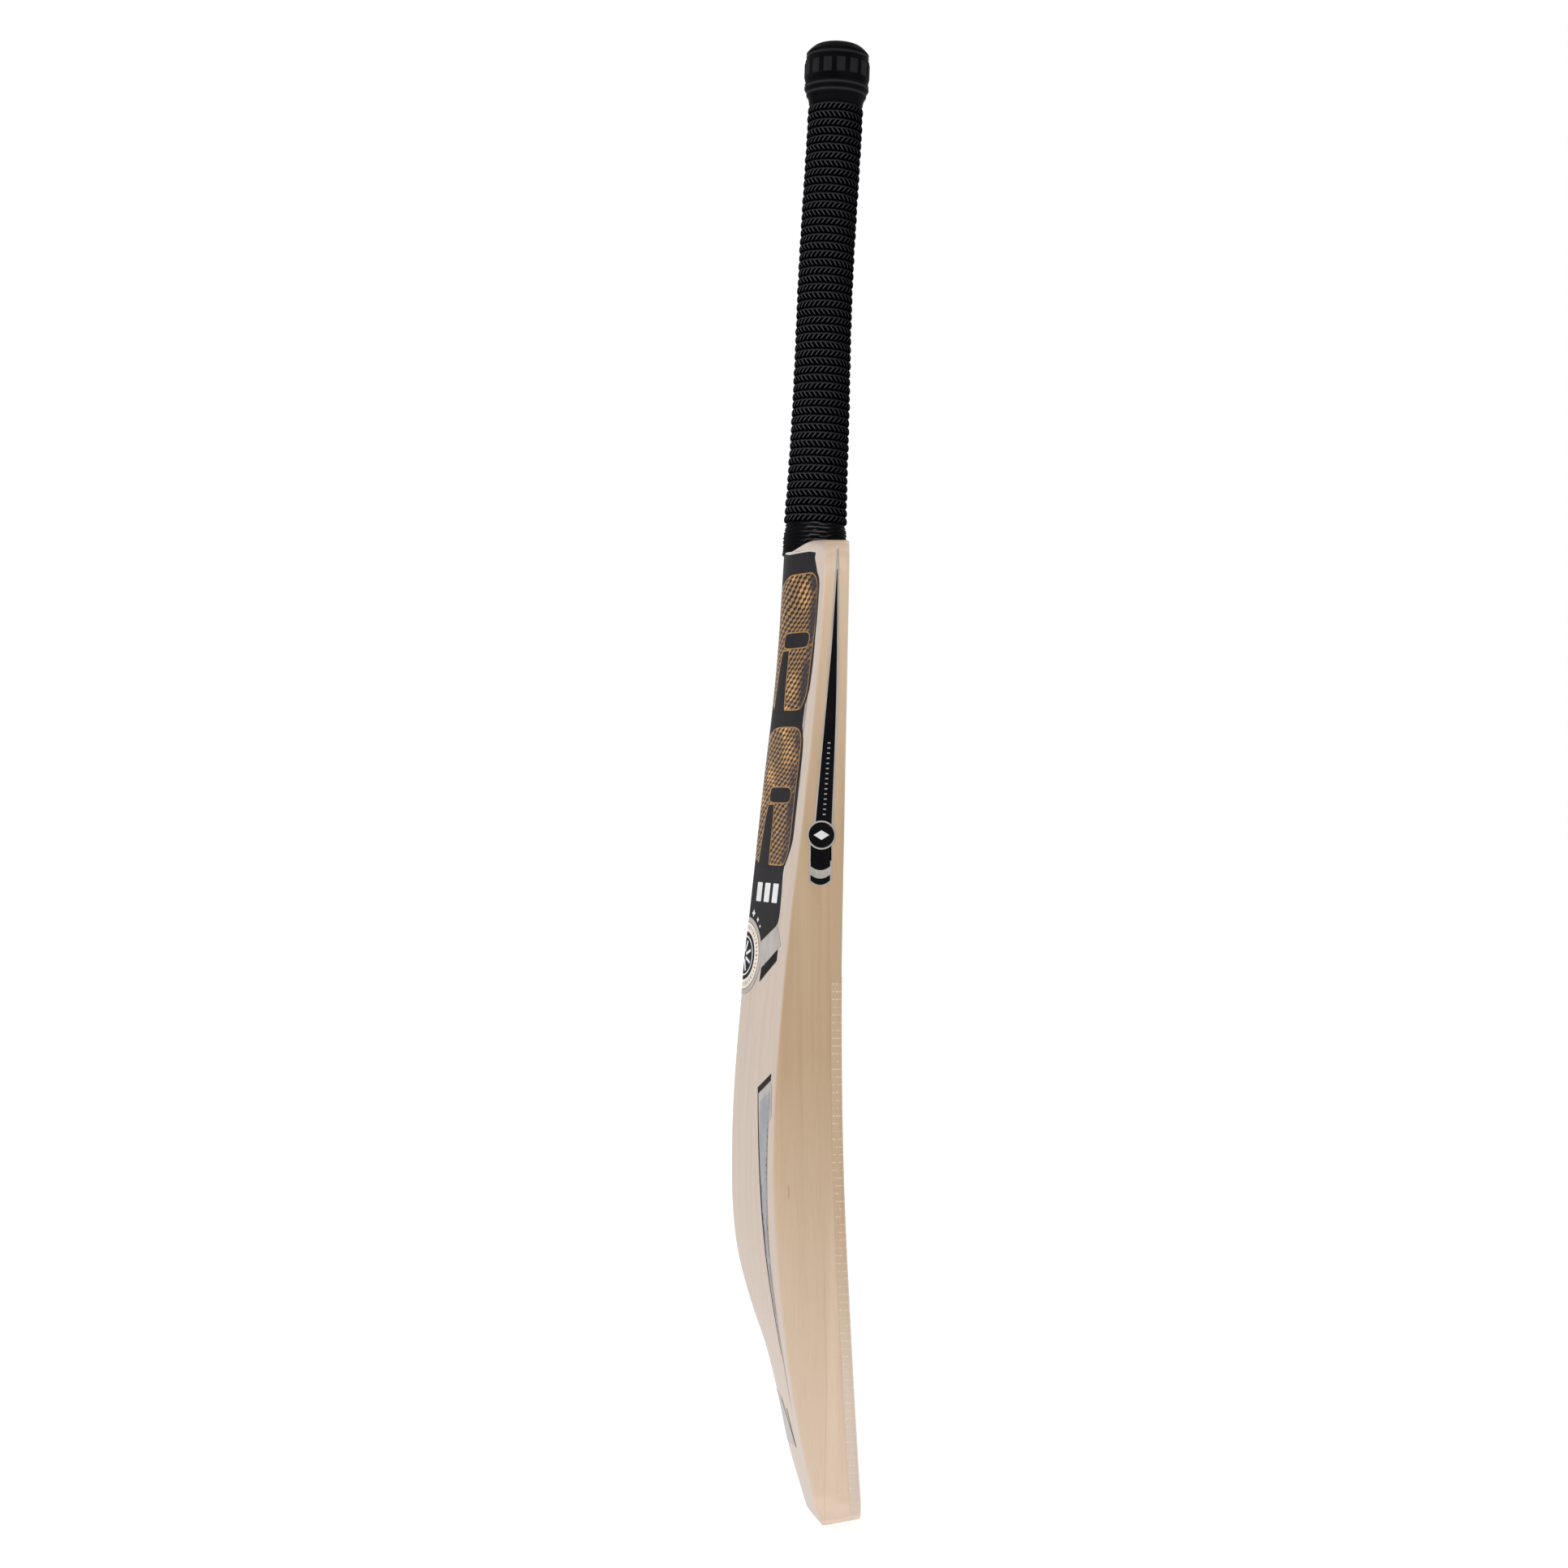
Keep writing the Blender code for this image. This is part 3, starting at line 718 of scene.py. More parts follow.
class Look:
    """A Principled material, with short calls that add the nodes of its pattern."""

    def __init__(self, name, **sockets):
        self.material = bpy.data.materials.new(name)
        self.material.use_nodes = True
        self.tree = self.material.node_tree
        self.shader = self.tree.nodes["Principled BSDF"]
        for socket, value in sockets.items():
            self.put(socket.replace("_", " "), value)
        self.place = None

    def put(self, socket, value):
        target = self.shader.inputs[socket]
        if isinstance(value, bpy.types.NodeSocket):
            self.tree.links.new(value, target)
        elif isinstance(value, tuple):
            target.default_value = (*value, 1.0)
        else:
            target.default_value = value

    def node(self, kind, inputs=(), **settings):
        made = self.tree.nodes.new(kind)
        for key, value in settings.items():
            setattr(made, key, value)
        for key, value in dict(inputs).items():
            if isinstance(value, bpy.types.NodeSocket):
                self.tree.links.new(value, made.inputs[key])
            else:
                made.inputs[key].default_value = value
        return made

    def coordinates(self):
        if self.place is None:
            self.place = self.node("ShaderNodeTexCoord").outputs["Object"]
        return self.place

    def xyz(self):
        split = self.node("ShaderNodeSeparateXYZ", {"Vector": self.coordinates()})
        return split.outputs[0], split.outputs[1], split.outputs[2]

    def attribute(self, name):
        return self.node("ShaderNodeAttribute", attribute_name=name).outputs["Fac"]

    def maths(self, operation, first, second=0.0):
        return self.node("ShaderNodeMath", {0: first, 1: second}, operation=operation).outputs[0]

    def add(self, first, second):
        return self.maths("ADD", first, second)

    def times(self, first, second):
        return self.maths("MULTIPLY", first, second)

    def rest(self, share):
        return self.maths("SUBTRACT", 1.0, share)

    def step(self, value, low, high):
        """0 under low, 1 over high, smooth between."""
        inputs = {"Value": value, "From Min": low, "From Max": high, "To Min": 0.0, "To Max": 1.0}
        return self.node("ShaderNodeMapRange", inputs, interpolation_type="SMOOTHSTEP").outputs["Result"]

    def ramp(self, value, start, end, top):
        """A straight rise from 0 at start to top at end, held on both sides."""
        inputs = {"Value": value, "From Min": start, "From Max": end, "To Min": 0.0, "To Max": top}
        return self.node("ShaderNodeMapRange", inputs).outputs["Result"]

    def window(self, value, middle, reach):
        """1 at the middle, falling to 0 at the reach on both sides."""
        off = self.maths("ABSOLUTE", self.add(value, -middle))
        return self.ramp(off, reach, reach * 0.4, 1.0)

    def noise(self, stretch, detail=3.0, rough=0.5, seed=0.0):
        """Noise with so many waves in a metre along each axis."""
        inputs = {"Vector": self.coordinates(), "Scale": stretch, "Location": (seed, seed * 0.7, seed * 1.3)}
        moved = self.node("ShaderNodeMapping", inputs)
        inputs = {"Vector": moved.outputs["Vector"], "Scale": 1.0, "Detail": detail, "Roughness": rough}
        return self.node("ShaderNodeTexNoise", inputs).outputs["Fac"]

    def mix(self, factor, low, high):
        made = self.node("ShaderNodeMix", data_type="RGBA")
        for index, value in ((0, factor), (6, low), (7, high)):
            if isinstance(value, bpy.types.NodeSocket):
                self.tree.links.new(value, made.inputs[index])
            else:
                made.inputs[index].default_value = (*value, 1.0) if isinstance(value, tuple) else value
        return made.outputs[2]

    def bump(self, height, distance):
        inputs = {"Height": height, "Distance": distance, "Strength": 1.0}
        self.put("Normal", self.node("ShaderNodeBump", inputs).outputs["Normal"])


def srgb(red, green, blue):
    """A colour from its 0 to 255 display values."""

    def linear(value):
        share = value / 255
        return share / 12.92 if share <= 0.04045 else ((share + 0.055) / 1.055) ** 2.4

    return (linear(red), linear(green), linear(blue))


def edge_marks(look, x, y, z):
    """A short dark fleck in one edge, and a fine grain line that runs down to the toe."""
    fleck = look.window(y, 0.0279, 0.0006)
    fleck = look.times(fleck, look.window(z, 0.1945, 0.0055))
    fleck = look.times(fleck, look.maths("LESS_THAN", x, 0.0))
    wave = look.add(look.times(look.maths("SINE", look.times(z, 55.0)), 0.0005), 0.0072)
    grain = look.window(look.maths("SUBTRACT", y, wave), 0.0, 0.00035)
    grain = look.times(grain, look.maths("LESS_THAN", z, 0.150))
    return look.add(fleck, look.times(grain, 0.4))


def willow_look():
    look = Look("willow", Roughness=0.42, Specular_IOR_Level=0.4)
    x, y, z = look.xyz()
    broad = look.noise((34.0, 34.0, 2.6), detail=2.0)
    streaks = look.noise((260.0, 210.0, 5.0), detail=3.0, seed=3.0)
    fibres = look.noise((1900.0, 1500.0, 42.0), detail=2.0, rough=0.7, seed=7.0)
    wander = look.noise((16.0, 30.0, 2.2), detail=2.0, seed=11.0)
    rings = look.add(look.times(x, 118.0), look.times(wander, 3.4))
    phase = look.maths("FRACT", rings)
    line = look.times(look.step(phase, 0.0, 0.72), look.rest(look.step(phase, 0.80, 0.98)))
    tan = look.mix(look.step(broad, 0.32, 0.68), srgb(178, 150, 120), srgb(176, 154, 124))
    tan = look.mix(look.step(streaks, 0.35, 0.75), tan, srgb(171, 144, 114))
    # Painted sheen: the back gets a paler copy of the wood's colour, as lit by the lamps on that side.
    pale = look.mix(look.step(broad, 0.30, 0.70), srgb(185, 168, 155), srgb(182, 168, 155))
    pale = look.mix(look.step(streaks, 0.40, 0.80), pale, srgb(179, 161, 148))
    # Painted light: the wood is made lighter towards the toe and towards the shoulder, where more light falls
    # on it.
    toe = look.ramp(z, 0.27, 0.0, 0.85)
    shoulder_light = look.ramp(z, 0.40, 0.56, 0.60)
    ends = look.add(toe, shoulder_light)
    tan = look.mix(ends, tan, srgb(222, 200, 180))
    pale = look.mix(look.times(ends, 0.45), pale, srgb(204, 188, 178))
    flank = look.attribute("flank_sheen")
    wood = look.mix(flank, tan, pale)
    ring = look.times(line, look.add(look.times(flank, -0.09), 0.12))
    wood = look.mix(ring, wood, srgb(146, 112, 84))
    wood = look.mix(look.times(edge_marks(look, x, y, z), 0.5), wood, srgb(142, 110, 80))
    wood = look.mix(look.times(look.step(fibres, 0.52, 0.80), 0.16), wood, srgb(130, 98, 72))
    look.put("Base Color", wood)
    look.put("Roughness", look.add(look.times(fibres, 0.16), 0.36))
    look.bump(look.add(look.times(fibres, 0.6), look.times(line, 0.4)), 0.00004)
    return look.material


def cane_look():
    look = Look("cane", Roughness=0.5)
    fibres = look.noise((1400.0, 1400.0, 14.0), detail=2.0)
    broad = look.noise((120.0, 120.0, 4.0), detail=2.0, seed=5.0)
    base = look.mix(look.step(broad, 0.3, 0.7), srgb(214, 178, 122), srgb(196, 156, 100))
    look.put("Base Color", look.mix(look.step(fibres, 0.50, 0.68), base, srgb(146, 104, 60)))
    look.bump(fibres, 0.00008)
    return look.material


def spring_look():
    look = Look("spring_rubber", Roughness=0.8)
    grain = look.noise((1800.0, 1800.0, 1800.0))
    look.put("Base Color", look.mix(grain, srgb(60, 42, 36), srgb(78, 58, 48)))
    look.bump(grain, 0.00003)
    return look.material


def thread_look():
    look = Look("waxed_thread", Roughness=0.55)
    _, _, z = look.xyz()
    turns = look.maths("SINE", look.times(z, 2 * math.pi / 0.0009))
    look.put("Base Color", look.mix(look.step(turns, -0.8, 0.6), srgb(110, 84, 58), srgb(190, 166, 128)))
    look.bump(turns, 0.00010)
    return look.material


def ringed_rubber_look():
    """Black rubber with slanted grooves in each ring, which lean the other way in the next one."""
    look = Look("grip_ringed", Specular_IOR_Level=0.0)
    x, y, _ = look.xyz()
    speck = look.noise((2600.0, 2600.0, 2600.0), detail=2.0)
    patches = look.noise((60.0, 60.0, 60.0), detail=2.0, seed=4.0)
    pitch = (RINGS_TOP - RINGS_FOOT) / RING_COUNT
    along = look.times(look.add(look.attribute("along"), -RINGS_FOOT), 1 / pitch)
    turn = look.maths("ARCTAN2", x, look.maths("SUBTRACT", look.attribute("middle"), y))
    share = look.maths("FRACT", along)
    odd = look.maths("MODULO", look.maths("FLOOR", along), 2.0)
    lean = look.times(look.maths("SUBTRACT", look.times(odd, 2.0), 1.0), share)
    grooves = look.maths("SINE", look.add(look.times(turn, GROOVES), look.times(lean, GROOVE_LEAN)))
    # Painted highlight: a lighter band near the top of each ring.
    crest_highlight = look.times(look.step(share, 0.70, 0.80), look.rest(look.step(share, 0.90, 0.97)))
    # Painted shade and highlight: the grooves are coloured nearly black and the strokes between them grey,
    # though the rubber is black all through; the grooves' relief is the bump below.
    cut = look.times(look.step(grooves, -0.95, -0.40), look.rest(crest_highlight))
    base = look.mix(cut, srgb(70, 70, 74), srgb(0, 0, 1))
    base = look.mix(look.times(crest_highlight, 0.8), base, srgb(29, 29, 32))
    # Painted shade: the rubber is darkened on the side towards the hitting face, away from the lamps.
    face_side_shade = look.step(look.maths("SUBTRACT", look.attribute("middle"), y), 0.002, 0.014)
    base = look.mix(look.times(face_side_shade, 0.55), base, srgb(2, 2, 3))
    # Painted shade: the valley between two rings is coloured nearly black.
    valley_shade = look.rest(look.step(share, 0.06, 0.30))
    base = look.mix(valley_shade, base, srgb(2, 2, 3))
    look.put("Base Color", base)
    look.put("Roughness", look.add(look.times(patches, 0.25), 0.36))
    look.bump(look.add(look.times(cut, -1.0), look.times(speck, 0.15)), 0.00025)
    return look.material


def smooth_rubber_look():
    look = Look("grip_smooth", Specular_IOR_Level=0.01)
    speck = look.noise((2600.0, 2600.0, 2600.0), detail=2.0)
    patches = look.noise((60.0, 60.0, 60.0), detail=2.0, seed=4.0)
    base = look.mix(look.step(patches, 0.35, 0.7), srgb(8, 8, 10), srgb(14, 14, 16))
    # Painted highlight: the stored value lightens the black rubber on the fold crests, the bead tops, the rim
    # and the raised pads.
    look.put("Base Color", look.mix(look.attribute("painted_highlight"), base, srgb(72, 72, 75)))
    look.put("Roughness", look.add(look.times(patches, 0.25), 0.30))
    look.bump(look.add(look.times(speck, 0.3), look.times(patches, 0.7)), 0.00012)
    return look.material


def facing_look():
    look = Look("fibre_facing", Roughness=0.36, Specular_IOR_Level=0.45)
    x, y, z = look.xyz()
    pitch, warp_pitch = 0.00435, 0.0019
    broad = look.noise((60.0, 60.0, 5.0), detail=2.0)
    fine = look.noise((900.0, 900.0, 60.0), detail=2.0, seed=2.0)
    patchy = look.noise((420.0, 420.0, 230.0), detail=1.0, seed=9.0)
    upper = look.mix(look.step(broad, 0.3, 0.7), srgb(178, 151, 122), srgb(180, 156, 128))
    lower = look.mix(look.step(broad, 0.3, 0.7), srgb(204, 186, 168), srgb(200, 182, 170))
    base = look.mix(look.rest(look.step(z, 0.06, 0.20)), upper, lower)
    row = look.maths("ABSOLUTE", look.add(look.maths("FRACT", look.times(z, 1 / pitch)), -0.5))
    weft = look.rest(look.step(row, 0.05, 0.11))
    across = look.add(look.times(look.maths("ABSOLUTE", x), 1.0), y)
    column = look.maths("ABSOLUTE", look.add(look.maths("FRACT", look.times(across, 1 / warp_pitch)), -0.5))
    warp = look.rest(look.step(column, 0.05, 0.12))
    broken = look.step(patchy, 0.42, 0.56)
    dash = look.times(look.times(weft, look.step(column, 0.12, 0.22)), look.add(look.times(broken, 0.8), 0.2))
    base = look.mix(look.times(look.times(warp, broken), 0.12), base, srgb(222, 204, 186))
    base = look.mix(look.times(dash, 0.6), base, srgb(226, 208, 188))
    look.put("Base Color", look.mix(look.times(fine, 0.10), base, srgb(156, 126, 98)))
    look.bump(look.add(dash, look.times(warp, 0.4)), 0.00006)
    return look.material


def film_look():
    look = Look("sticker_charcoal", Roughness=0.40, Specular_IOR_Level=0.02)
    scuffs = look.noise((900.0, 900.0, 120.0), detail=3.0)
    broad = look.noise((40.0, 40.0, 26.0), detail=2.0, seed=6.0)
    base = look.mix(look.step(broad, 0.3, 0.7), srgb(36, 34, 36), srgb(41, 39, 41))
    look.put("Base Color", look.mix(look.step(scuffs, 0.62, 0.78), base, srgb(54, 52, 54)))
    look.bump(look.add(look.times(broad, 1.0), look.times(scuffs, 0.06)), 0.0003)
    return look.material


def plain_film(name, colour, other, shine=0.25):
    look = Look(name, Roughness=0.38, Specular_IOR_Level=shine)
    mottle = look.noise((160.0, 160.0, 60.0), detail=3.0)
    look.put("Base Color", look.mix(look.step(mottle, 0.3, 0.7), colour, other))
    look.bump(mottle, 0.00005)
    return look.material


SHEENS = [(0.0300, 0.5310), (0.0260, 0.4790), (0.0290, 0.4410)]  # painted highlights: where the gold is made brightest
SHEEN_REACH = (0.0075, 0.0110)
SCALE_PITCH = (0.0044, 0.0027)  # of the steep and the level rows


def scales_look():
    """Printed gold scales: slanted rows of bright flakes on a dark ground, brighter in random patches and in
    painted highlights.
    """
    look = Look("sticker_gold_scales", Roughness=0.36, Specular_IOR_Level=0.10)
    x, _, z = look.xyz()
    aside = look.maths("ABSOLUTE", x)
    sway = look.times(look.noise((40.0, 40.0, 36.0), detail=1.0), 2.4)
    steep = look.add(look.times(look.add(z, look.times(aside, -1.0)), 1 / SCALE_PITCH[0]), sway)
    level = look.add(look.times(look.add(z, look.times(aside, 0.15)), 1 / SCALE_PITCH[1]), sway)
    rows = look.maths("SINE", look.times(level, 2 * math.pi))
    columns = look.maths("SINE", look.times(steep, 2 * math.pi))
    flake = look.step(look.add(look.times(rows, 0.7), columns), -0.45, 0.55)
    patch = look.noise((70.0, 70.0, 40.0), detail=2.0, seed=8.0)
    bright = look.step(patch, 0.56, 0.70)
    # Painted highlight: round glows of brighter gold round each of the SHEENS.
    for side, height in SHEENS:
        across = look.times(look.add(aside, -side), 1 / SHEEN_REACH[0])
        along = look.times(look.add(z, -height), 1 / SHEEN_REACH[1])
        away = look.add(look.times(across, across), look.times(along, along))
        glow = look.rest(look.step(away, 0.1, 1.0))
        bright = look.maths("MAXIMUM", bright, look.times(glow, 0.5))
    shine = look.mix(bright, srgb(148, 112, 74), srgb(218, 168, 106))
    ground = look.mix(bright, srgb(30, 23, 20), srgb(66, 44, 26))
    gold = look.mix(flake, ground, shine)
    violet = look.noise((40.0, 40.0, 60.0), detail=2.0, seed=2.0)
    patchy = look.add(look.times(look.step(violet, 0.36, 0.56), 0.60), 0.32)
    shade = look.times(look.step(aside, 0.0320, 0.0375), patchy)
    look.put("Base Color", look.mix(shade, gold, srgb(34, 26, 34)))
    look.bump(flake, 0.00005)
    return look.material


def stage_look(name, colour):
    look = Look(name, Roughness=0.9)
    look.put("Base Color", tuple(0.4 * part for part in colour))
    look.put("Emission Color", colour)
    look.put("Emission Strength", 0.9)
    return look.material


# ---------------------------------------------------------------- sticker outlines

FILM_SIDE = mm([
    (0.0, 0.5568), (-9.0, 0.5562), (-16.0, 0.5550), (-38.9, 0.5553), (-39.4, 0.5500),
    (-39.3, 0.5450), (-41.5, 0.5433), (-43.7, 0.5400), (-44.4, 0.5359), (-43.6, 0.5300),
    (-43.4, 0.5222), (-43.6, 0.5061), (-44.4, 0.5014), (-45.4, 0.4875), (-45.1, 0.4779),
    (-43.1, 0.4715), (-40.5, 0.4658), (-37.8, 0.4632), (-37.8, 0.4572), (-41.8, 0.4533),
    (-44.0, 0.4477), (-44.8, 0.4378), (-44.6, 0.4168), (-44.9, 0.4065), (-45.4, 0.3924),
    (-44.2, 0.3873), (-41.0, 0.3795), (-38.1, 0.3748), (-39.4, 0.3614), (-40.3, 0.3486),
    (-38.7, 0.3427), (-22.9, 0.3329), (-19.5, 0.3310), (0.0, 0.3310),
])
UPPER_PANEL = mm([
    (0.0, 0.5350), (-6.8, 0.5386), (-10.9, 0.5408), (-17.6, 0.5434), (-27.1, 0.5434),
    (-37.1, 0.5435), (-40.7, 0.5404), (-42.2, 0.5368), (-41.9, 0.5320), (-40.9, 0.5224),
    (-40.9, 0.5128), (-41.8, 0.5015), (-42.9, 0.4844), (-42.8, 0.4780), (-41.2, 0.4716),
    (-38.5, 0.4669), (-35.4, 0.4648), (-19.9, 0.4650), (-5.1, 0.4674), (0.0, 0.4700),
])
LOWER_PANEL = mm([
    (0.0, 0.4500), (-4.4, 0.4520), (-10.1, 0.4548), (-16.5, 0.4559), (-34.4, 0.4556),
    (-38.7, 0.4536), (-41.0, 0.4509), (-42.1, 0.4466), (-42.1, 0.4396), (-41.6, 0.4221),
    (-41.9, 0.4074), (-42.1, 0.3936), (-41.3, 0.3833), (-38.6, 0.3781), (-36.3, 0.3764),
    (-18.3, 0.3764), (-6.2, 0.3777), (0.0, 0.3800),
])
PANEL_LINE = 0.0007
BADGE_CENTRE = (0.0, 0.3230)
BADGE_RADIUS = 0.0225


def crossbar(top):
    """The short dark bar across one side of a gold panel."""
    points = [(-12.9, 4.6), (-14.2, 0.4), (-17.0, 0.0), (-33.2, 0.0), (-36.2, 1.4), (-36.9, 4.2)]
    points += [(-36.2, 7.6), (-33.6, 8.6), (-13.6, 8.6)]
    return softened([(x / 1000, top - drop / 1000) for x, drop in points], 2)


def leg(bar_top, foot):
    """The dark leg under that bar, which runs out at the panel's foot."""
    top = bar_top - 0.0100
    span = top - foot
    left = [(-12.3, 0.0), (-10.1, 0.22), (-8.5, 0.58), (-6.3, 1.0)]
    right = [(-19.7, 1.0), (-19.2, 0.58), (-19.2, 0.22), (-18.8, 0.0)]
    return [(x / 1000, top - share * span) for x, share in left + right]


def star(x, z, size):
    """A star with four points, from its top round to the left."""
    waist = size * 0.35
    left = [(x, z + size), (x - waist, z + waist), (x - size, z), (x - waist, z - waist)]
    return left + [(x, z - size), (x + waist, z - waist), (x + size, z), (x + waist, z + waist)]


def make_main_sticker(looks):
    film = softened(both_sides(FILM_SIDE), 1)
    panels = [softened(both_sides(panel), 2) for panel in (UPPER_PANEL, LOWER_PANEL)]
    slots, legs, borders = [], [], []
    for bar_top, foot in ((0.5095, 0.4640), (0.4210, 0.3750)):
        slots += twice([crossbar(bar_top)])
        legs += twice([leg(bar_top, foot)])
        borders += twice([grown(leg(bar_top, foot + 0.0032), PANEL_LINE)])
    inner = [grown(panel, -PANEL_LINE) for panel in panels]
    marks = [rounded_box((x, 0.3552), (x + 0.0065, 0.3662), 0.0007) for x in (-0.0350, -0.0250, -0.0150)]
    places = ((-0.0070, 0.3480, 0.0024), (-0.0135, 0.3446, 0.0017), (-0.0172, 0.3410, 0.0012))
    stars = [star(*place) for place in places]
    nodes = ["back_sticker"]
    # The film's rim is real; its pale colour is a painted highlight.
    rim = [([grown(film, FILM_RIM)], on_back, -2)]
    sticker("sticker_back_rim_highlight", rim, looks["pale"], nodes, FINE_STEP)
    sticker("sticker_back_film", [([film], on_back, 0)], looks["film"], nodes, FINE_STEP)
    lines = [(panels, on_back, 1), ([grown(s, PANEL_LINE) for s in slots] + borders, on_back, 3)]
    sticker("sticker_gold_lines", lines, looks["gold_line"], nodes)
    sticker("sticker_gold_scales", [(inner, on_back, 2)], looks["scales"], nodes)
    sticker("sticker_slots", [(slots + legs, on_back, 4)], looks["film"], nodes)
    sticker("sticker_white_marks", [(twice(marks + stars), on_back, 1)], looks["white"], nodes)


def rays(centre, count, reaches, widths):
    """Bars that point away from a centre, with the widths taken in turn."""
    made = []
    for k in range(count):
        turn = 2 * math.pi * (k + 0.5) / count
        ends = [(centre[0] + r * math.cos(turn), centre[1] + r * math.sin(turn)) for r in reaches]
        made.append(bar(*ends, widths[k % len(widths)]))
    return made


def make_badge(looks):
    """Round badge over the spine, with plain rings and ticks."""
    centre = BADGE_CENTRE
    silver = twice([mm([(-38.8, 0.3429), (-45.6, 0.3319), (-23.2, 0.3164), (-19.0, 0.3316)])])
    dark = twice([mm([(-42.7, 0.3294), (-42.6, 0.3230), (-23.4, 0.3094), (-24.2, 0.3178)])])
    ticks = rays(centre, 44, (0.0158, 0.0178), (0.0010, 0.0006, 0.0006))
    spokes = rays(centre, 8, (0.0025, 0.0094), (0.0016,))
    finishes = {
        "silver": [([disc(centre, BADGE_RADIUS)], 3), (silver, 1)],
        "line": [([disc(centre, 0.0200)], 4), (ticks, 6)],
        "cream": [([disc(centre, 0.0195)], 5)],
        "black": [([disc(centre, 0.0140)], 6), ([disc(centre, 0.0108)], 8), (dark, 1)],
        "white": [([disc(centre, 0.0117)], 7), (spokes, 9)],
    }
    for name, parts in finishes.items():
        look = looks["brown" if name == "line" else name]
        placed = [(outlines, on_back, level) for outlines, level in parts]
        sticker(f"badge_{name}", placed, look, ["back_sticker"])


def ribbon(centre_line, widths, heights):
    """A tapered outline round a centre line, from functions of the height given as point lists."""
    halves = [max(through(widths, z), 0.0001) for z in heights]
    left = [(through(centre_line, z) - half, z) for z, half in zip(heights, halves, strict=True)]
    right = [(through(centre_line, z) + half, z) for z, half in zip(heights, halves, strict=True)]
    return left + right[::-1]


def between(low, high, steps):
    return [low + (high - low) * k / steps for k in range(steps + 1)]


EDGE_MIDDLE = [(0.3652, 0.01075), (0.4044, 0.0081), (0.4712, 0.00365), (0.5450, 0.0005), (0.5560, 0.0)]
EDGE_HALF = [
    (0.3652, 0.0054), (0.4044, 0.0044), (0.4712, 0.0024),
    (0.5250, 0.0007), (0.5435, 0.0002), (0.5560, 0.0001),
]
EDGE_RIM = [(0.3652, 0.0010), (0.5000, 0.0010), (0.5435, 0.0007), (0.5560, 0.0004)]
ROUNDEL = (0.0095, 0.3944)
ROUNDEL_RADIUS = 0.0081


def arc_band(middle, reach, top, bottom, sag_top, sag_bottom, steps=14):
    """A band across the label whose two edges sag in the middle."""
    upper, lower = [], []
    for k in range(steps + 1):
        share = 2 * k / steps - 1
        dip = 1 - share * share
        upper.append((middle + reach * share, top - sag_top * dip))
        lower.append((middle + reach * share, bottom - sag_bottom * dip))
    return upper + lower[::-1]


def make_edge_labels(looks):
    """The long tapered label on each edge, with a plain roundel and a row of ticks."""
    for side, name in ((-1, "left"), (1, "right")):
        place = on_edge(side)
        nodes = [f"edge_sticker_{name}"]
        wide = [(z, half + through(EDGE_RIM, z)) for z, half in EDGE_HALF]
        outline = ribbon(EDGE_MIDDLE, wide, between(0.3800, 0.5560, 60))
        core = ribbon(EDGE_MIDDLE, EDGE_HALF, between(0.3990, 0.5435, 60))
        base = 0.0102
        foot_outline = arc_band(base, 0.0063, 0.3910, 0.3684, 0.0, 0.0026)
        band = arc_band(base - 0.0001, 0.0055, 0.3890, 0.3769, 0.0, 0.0022)
        arc = arc_band(base, 0.0055, 0.3722, 0.3690, 0.0022, 0.0025)
        ticks = []
        for z in between(0.4060, 0.4460, 14):
            middle = through(EDGE_MIDDLE, z)
            ticks.append(bar((middle - 0.0008, z), (middle + 0.0008, z), 0.0007))
        y, z = ROUNDEL
        lozenge = [(y + 0.0044, z), (y, z + 0.0027), (y - 0.0044, z), (y, z - 0.0027)]
        silver = [([outline, foot_outline], place, 0), ([disc(ROUNDEL, ROUNDEL_RADIUS)], place, 2)]
        sticker(f"edge_label_silver_{name}", silver, looks["silver"], nodes, FINE_STEP)
        black = [([core, band, arc], place, 1), ([disc(ROUNDEL, ROUNDEL_RADIUS - 0.0009)], place, 3)]
        sticker(f"edge_label_black_{name}", black, looks["black"], nodes, FINE_STEP)
        sticker(f"edge_label_mark_{name}", [([lozenge], place, 4)], looks["white"], nodes, FINE_STEP)
        sticker(f"edge_label_ticks_{name}", [(ticks, place, 2)], looks["lilac"], nodes, FINE_STEP)


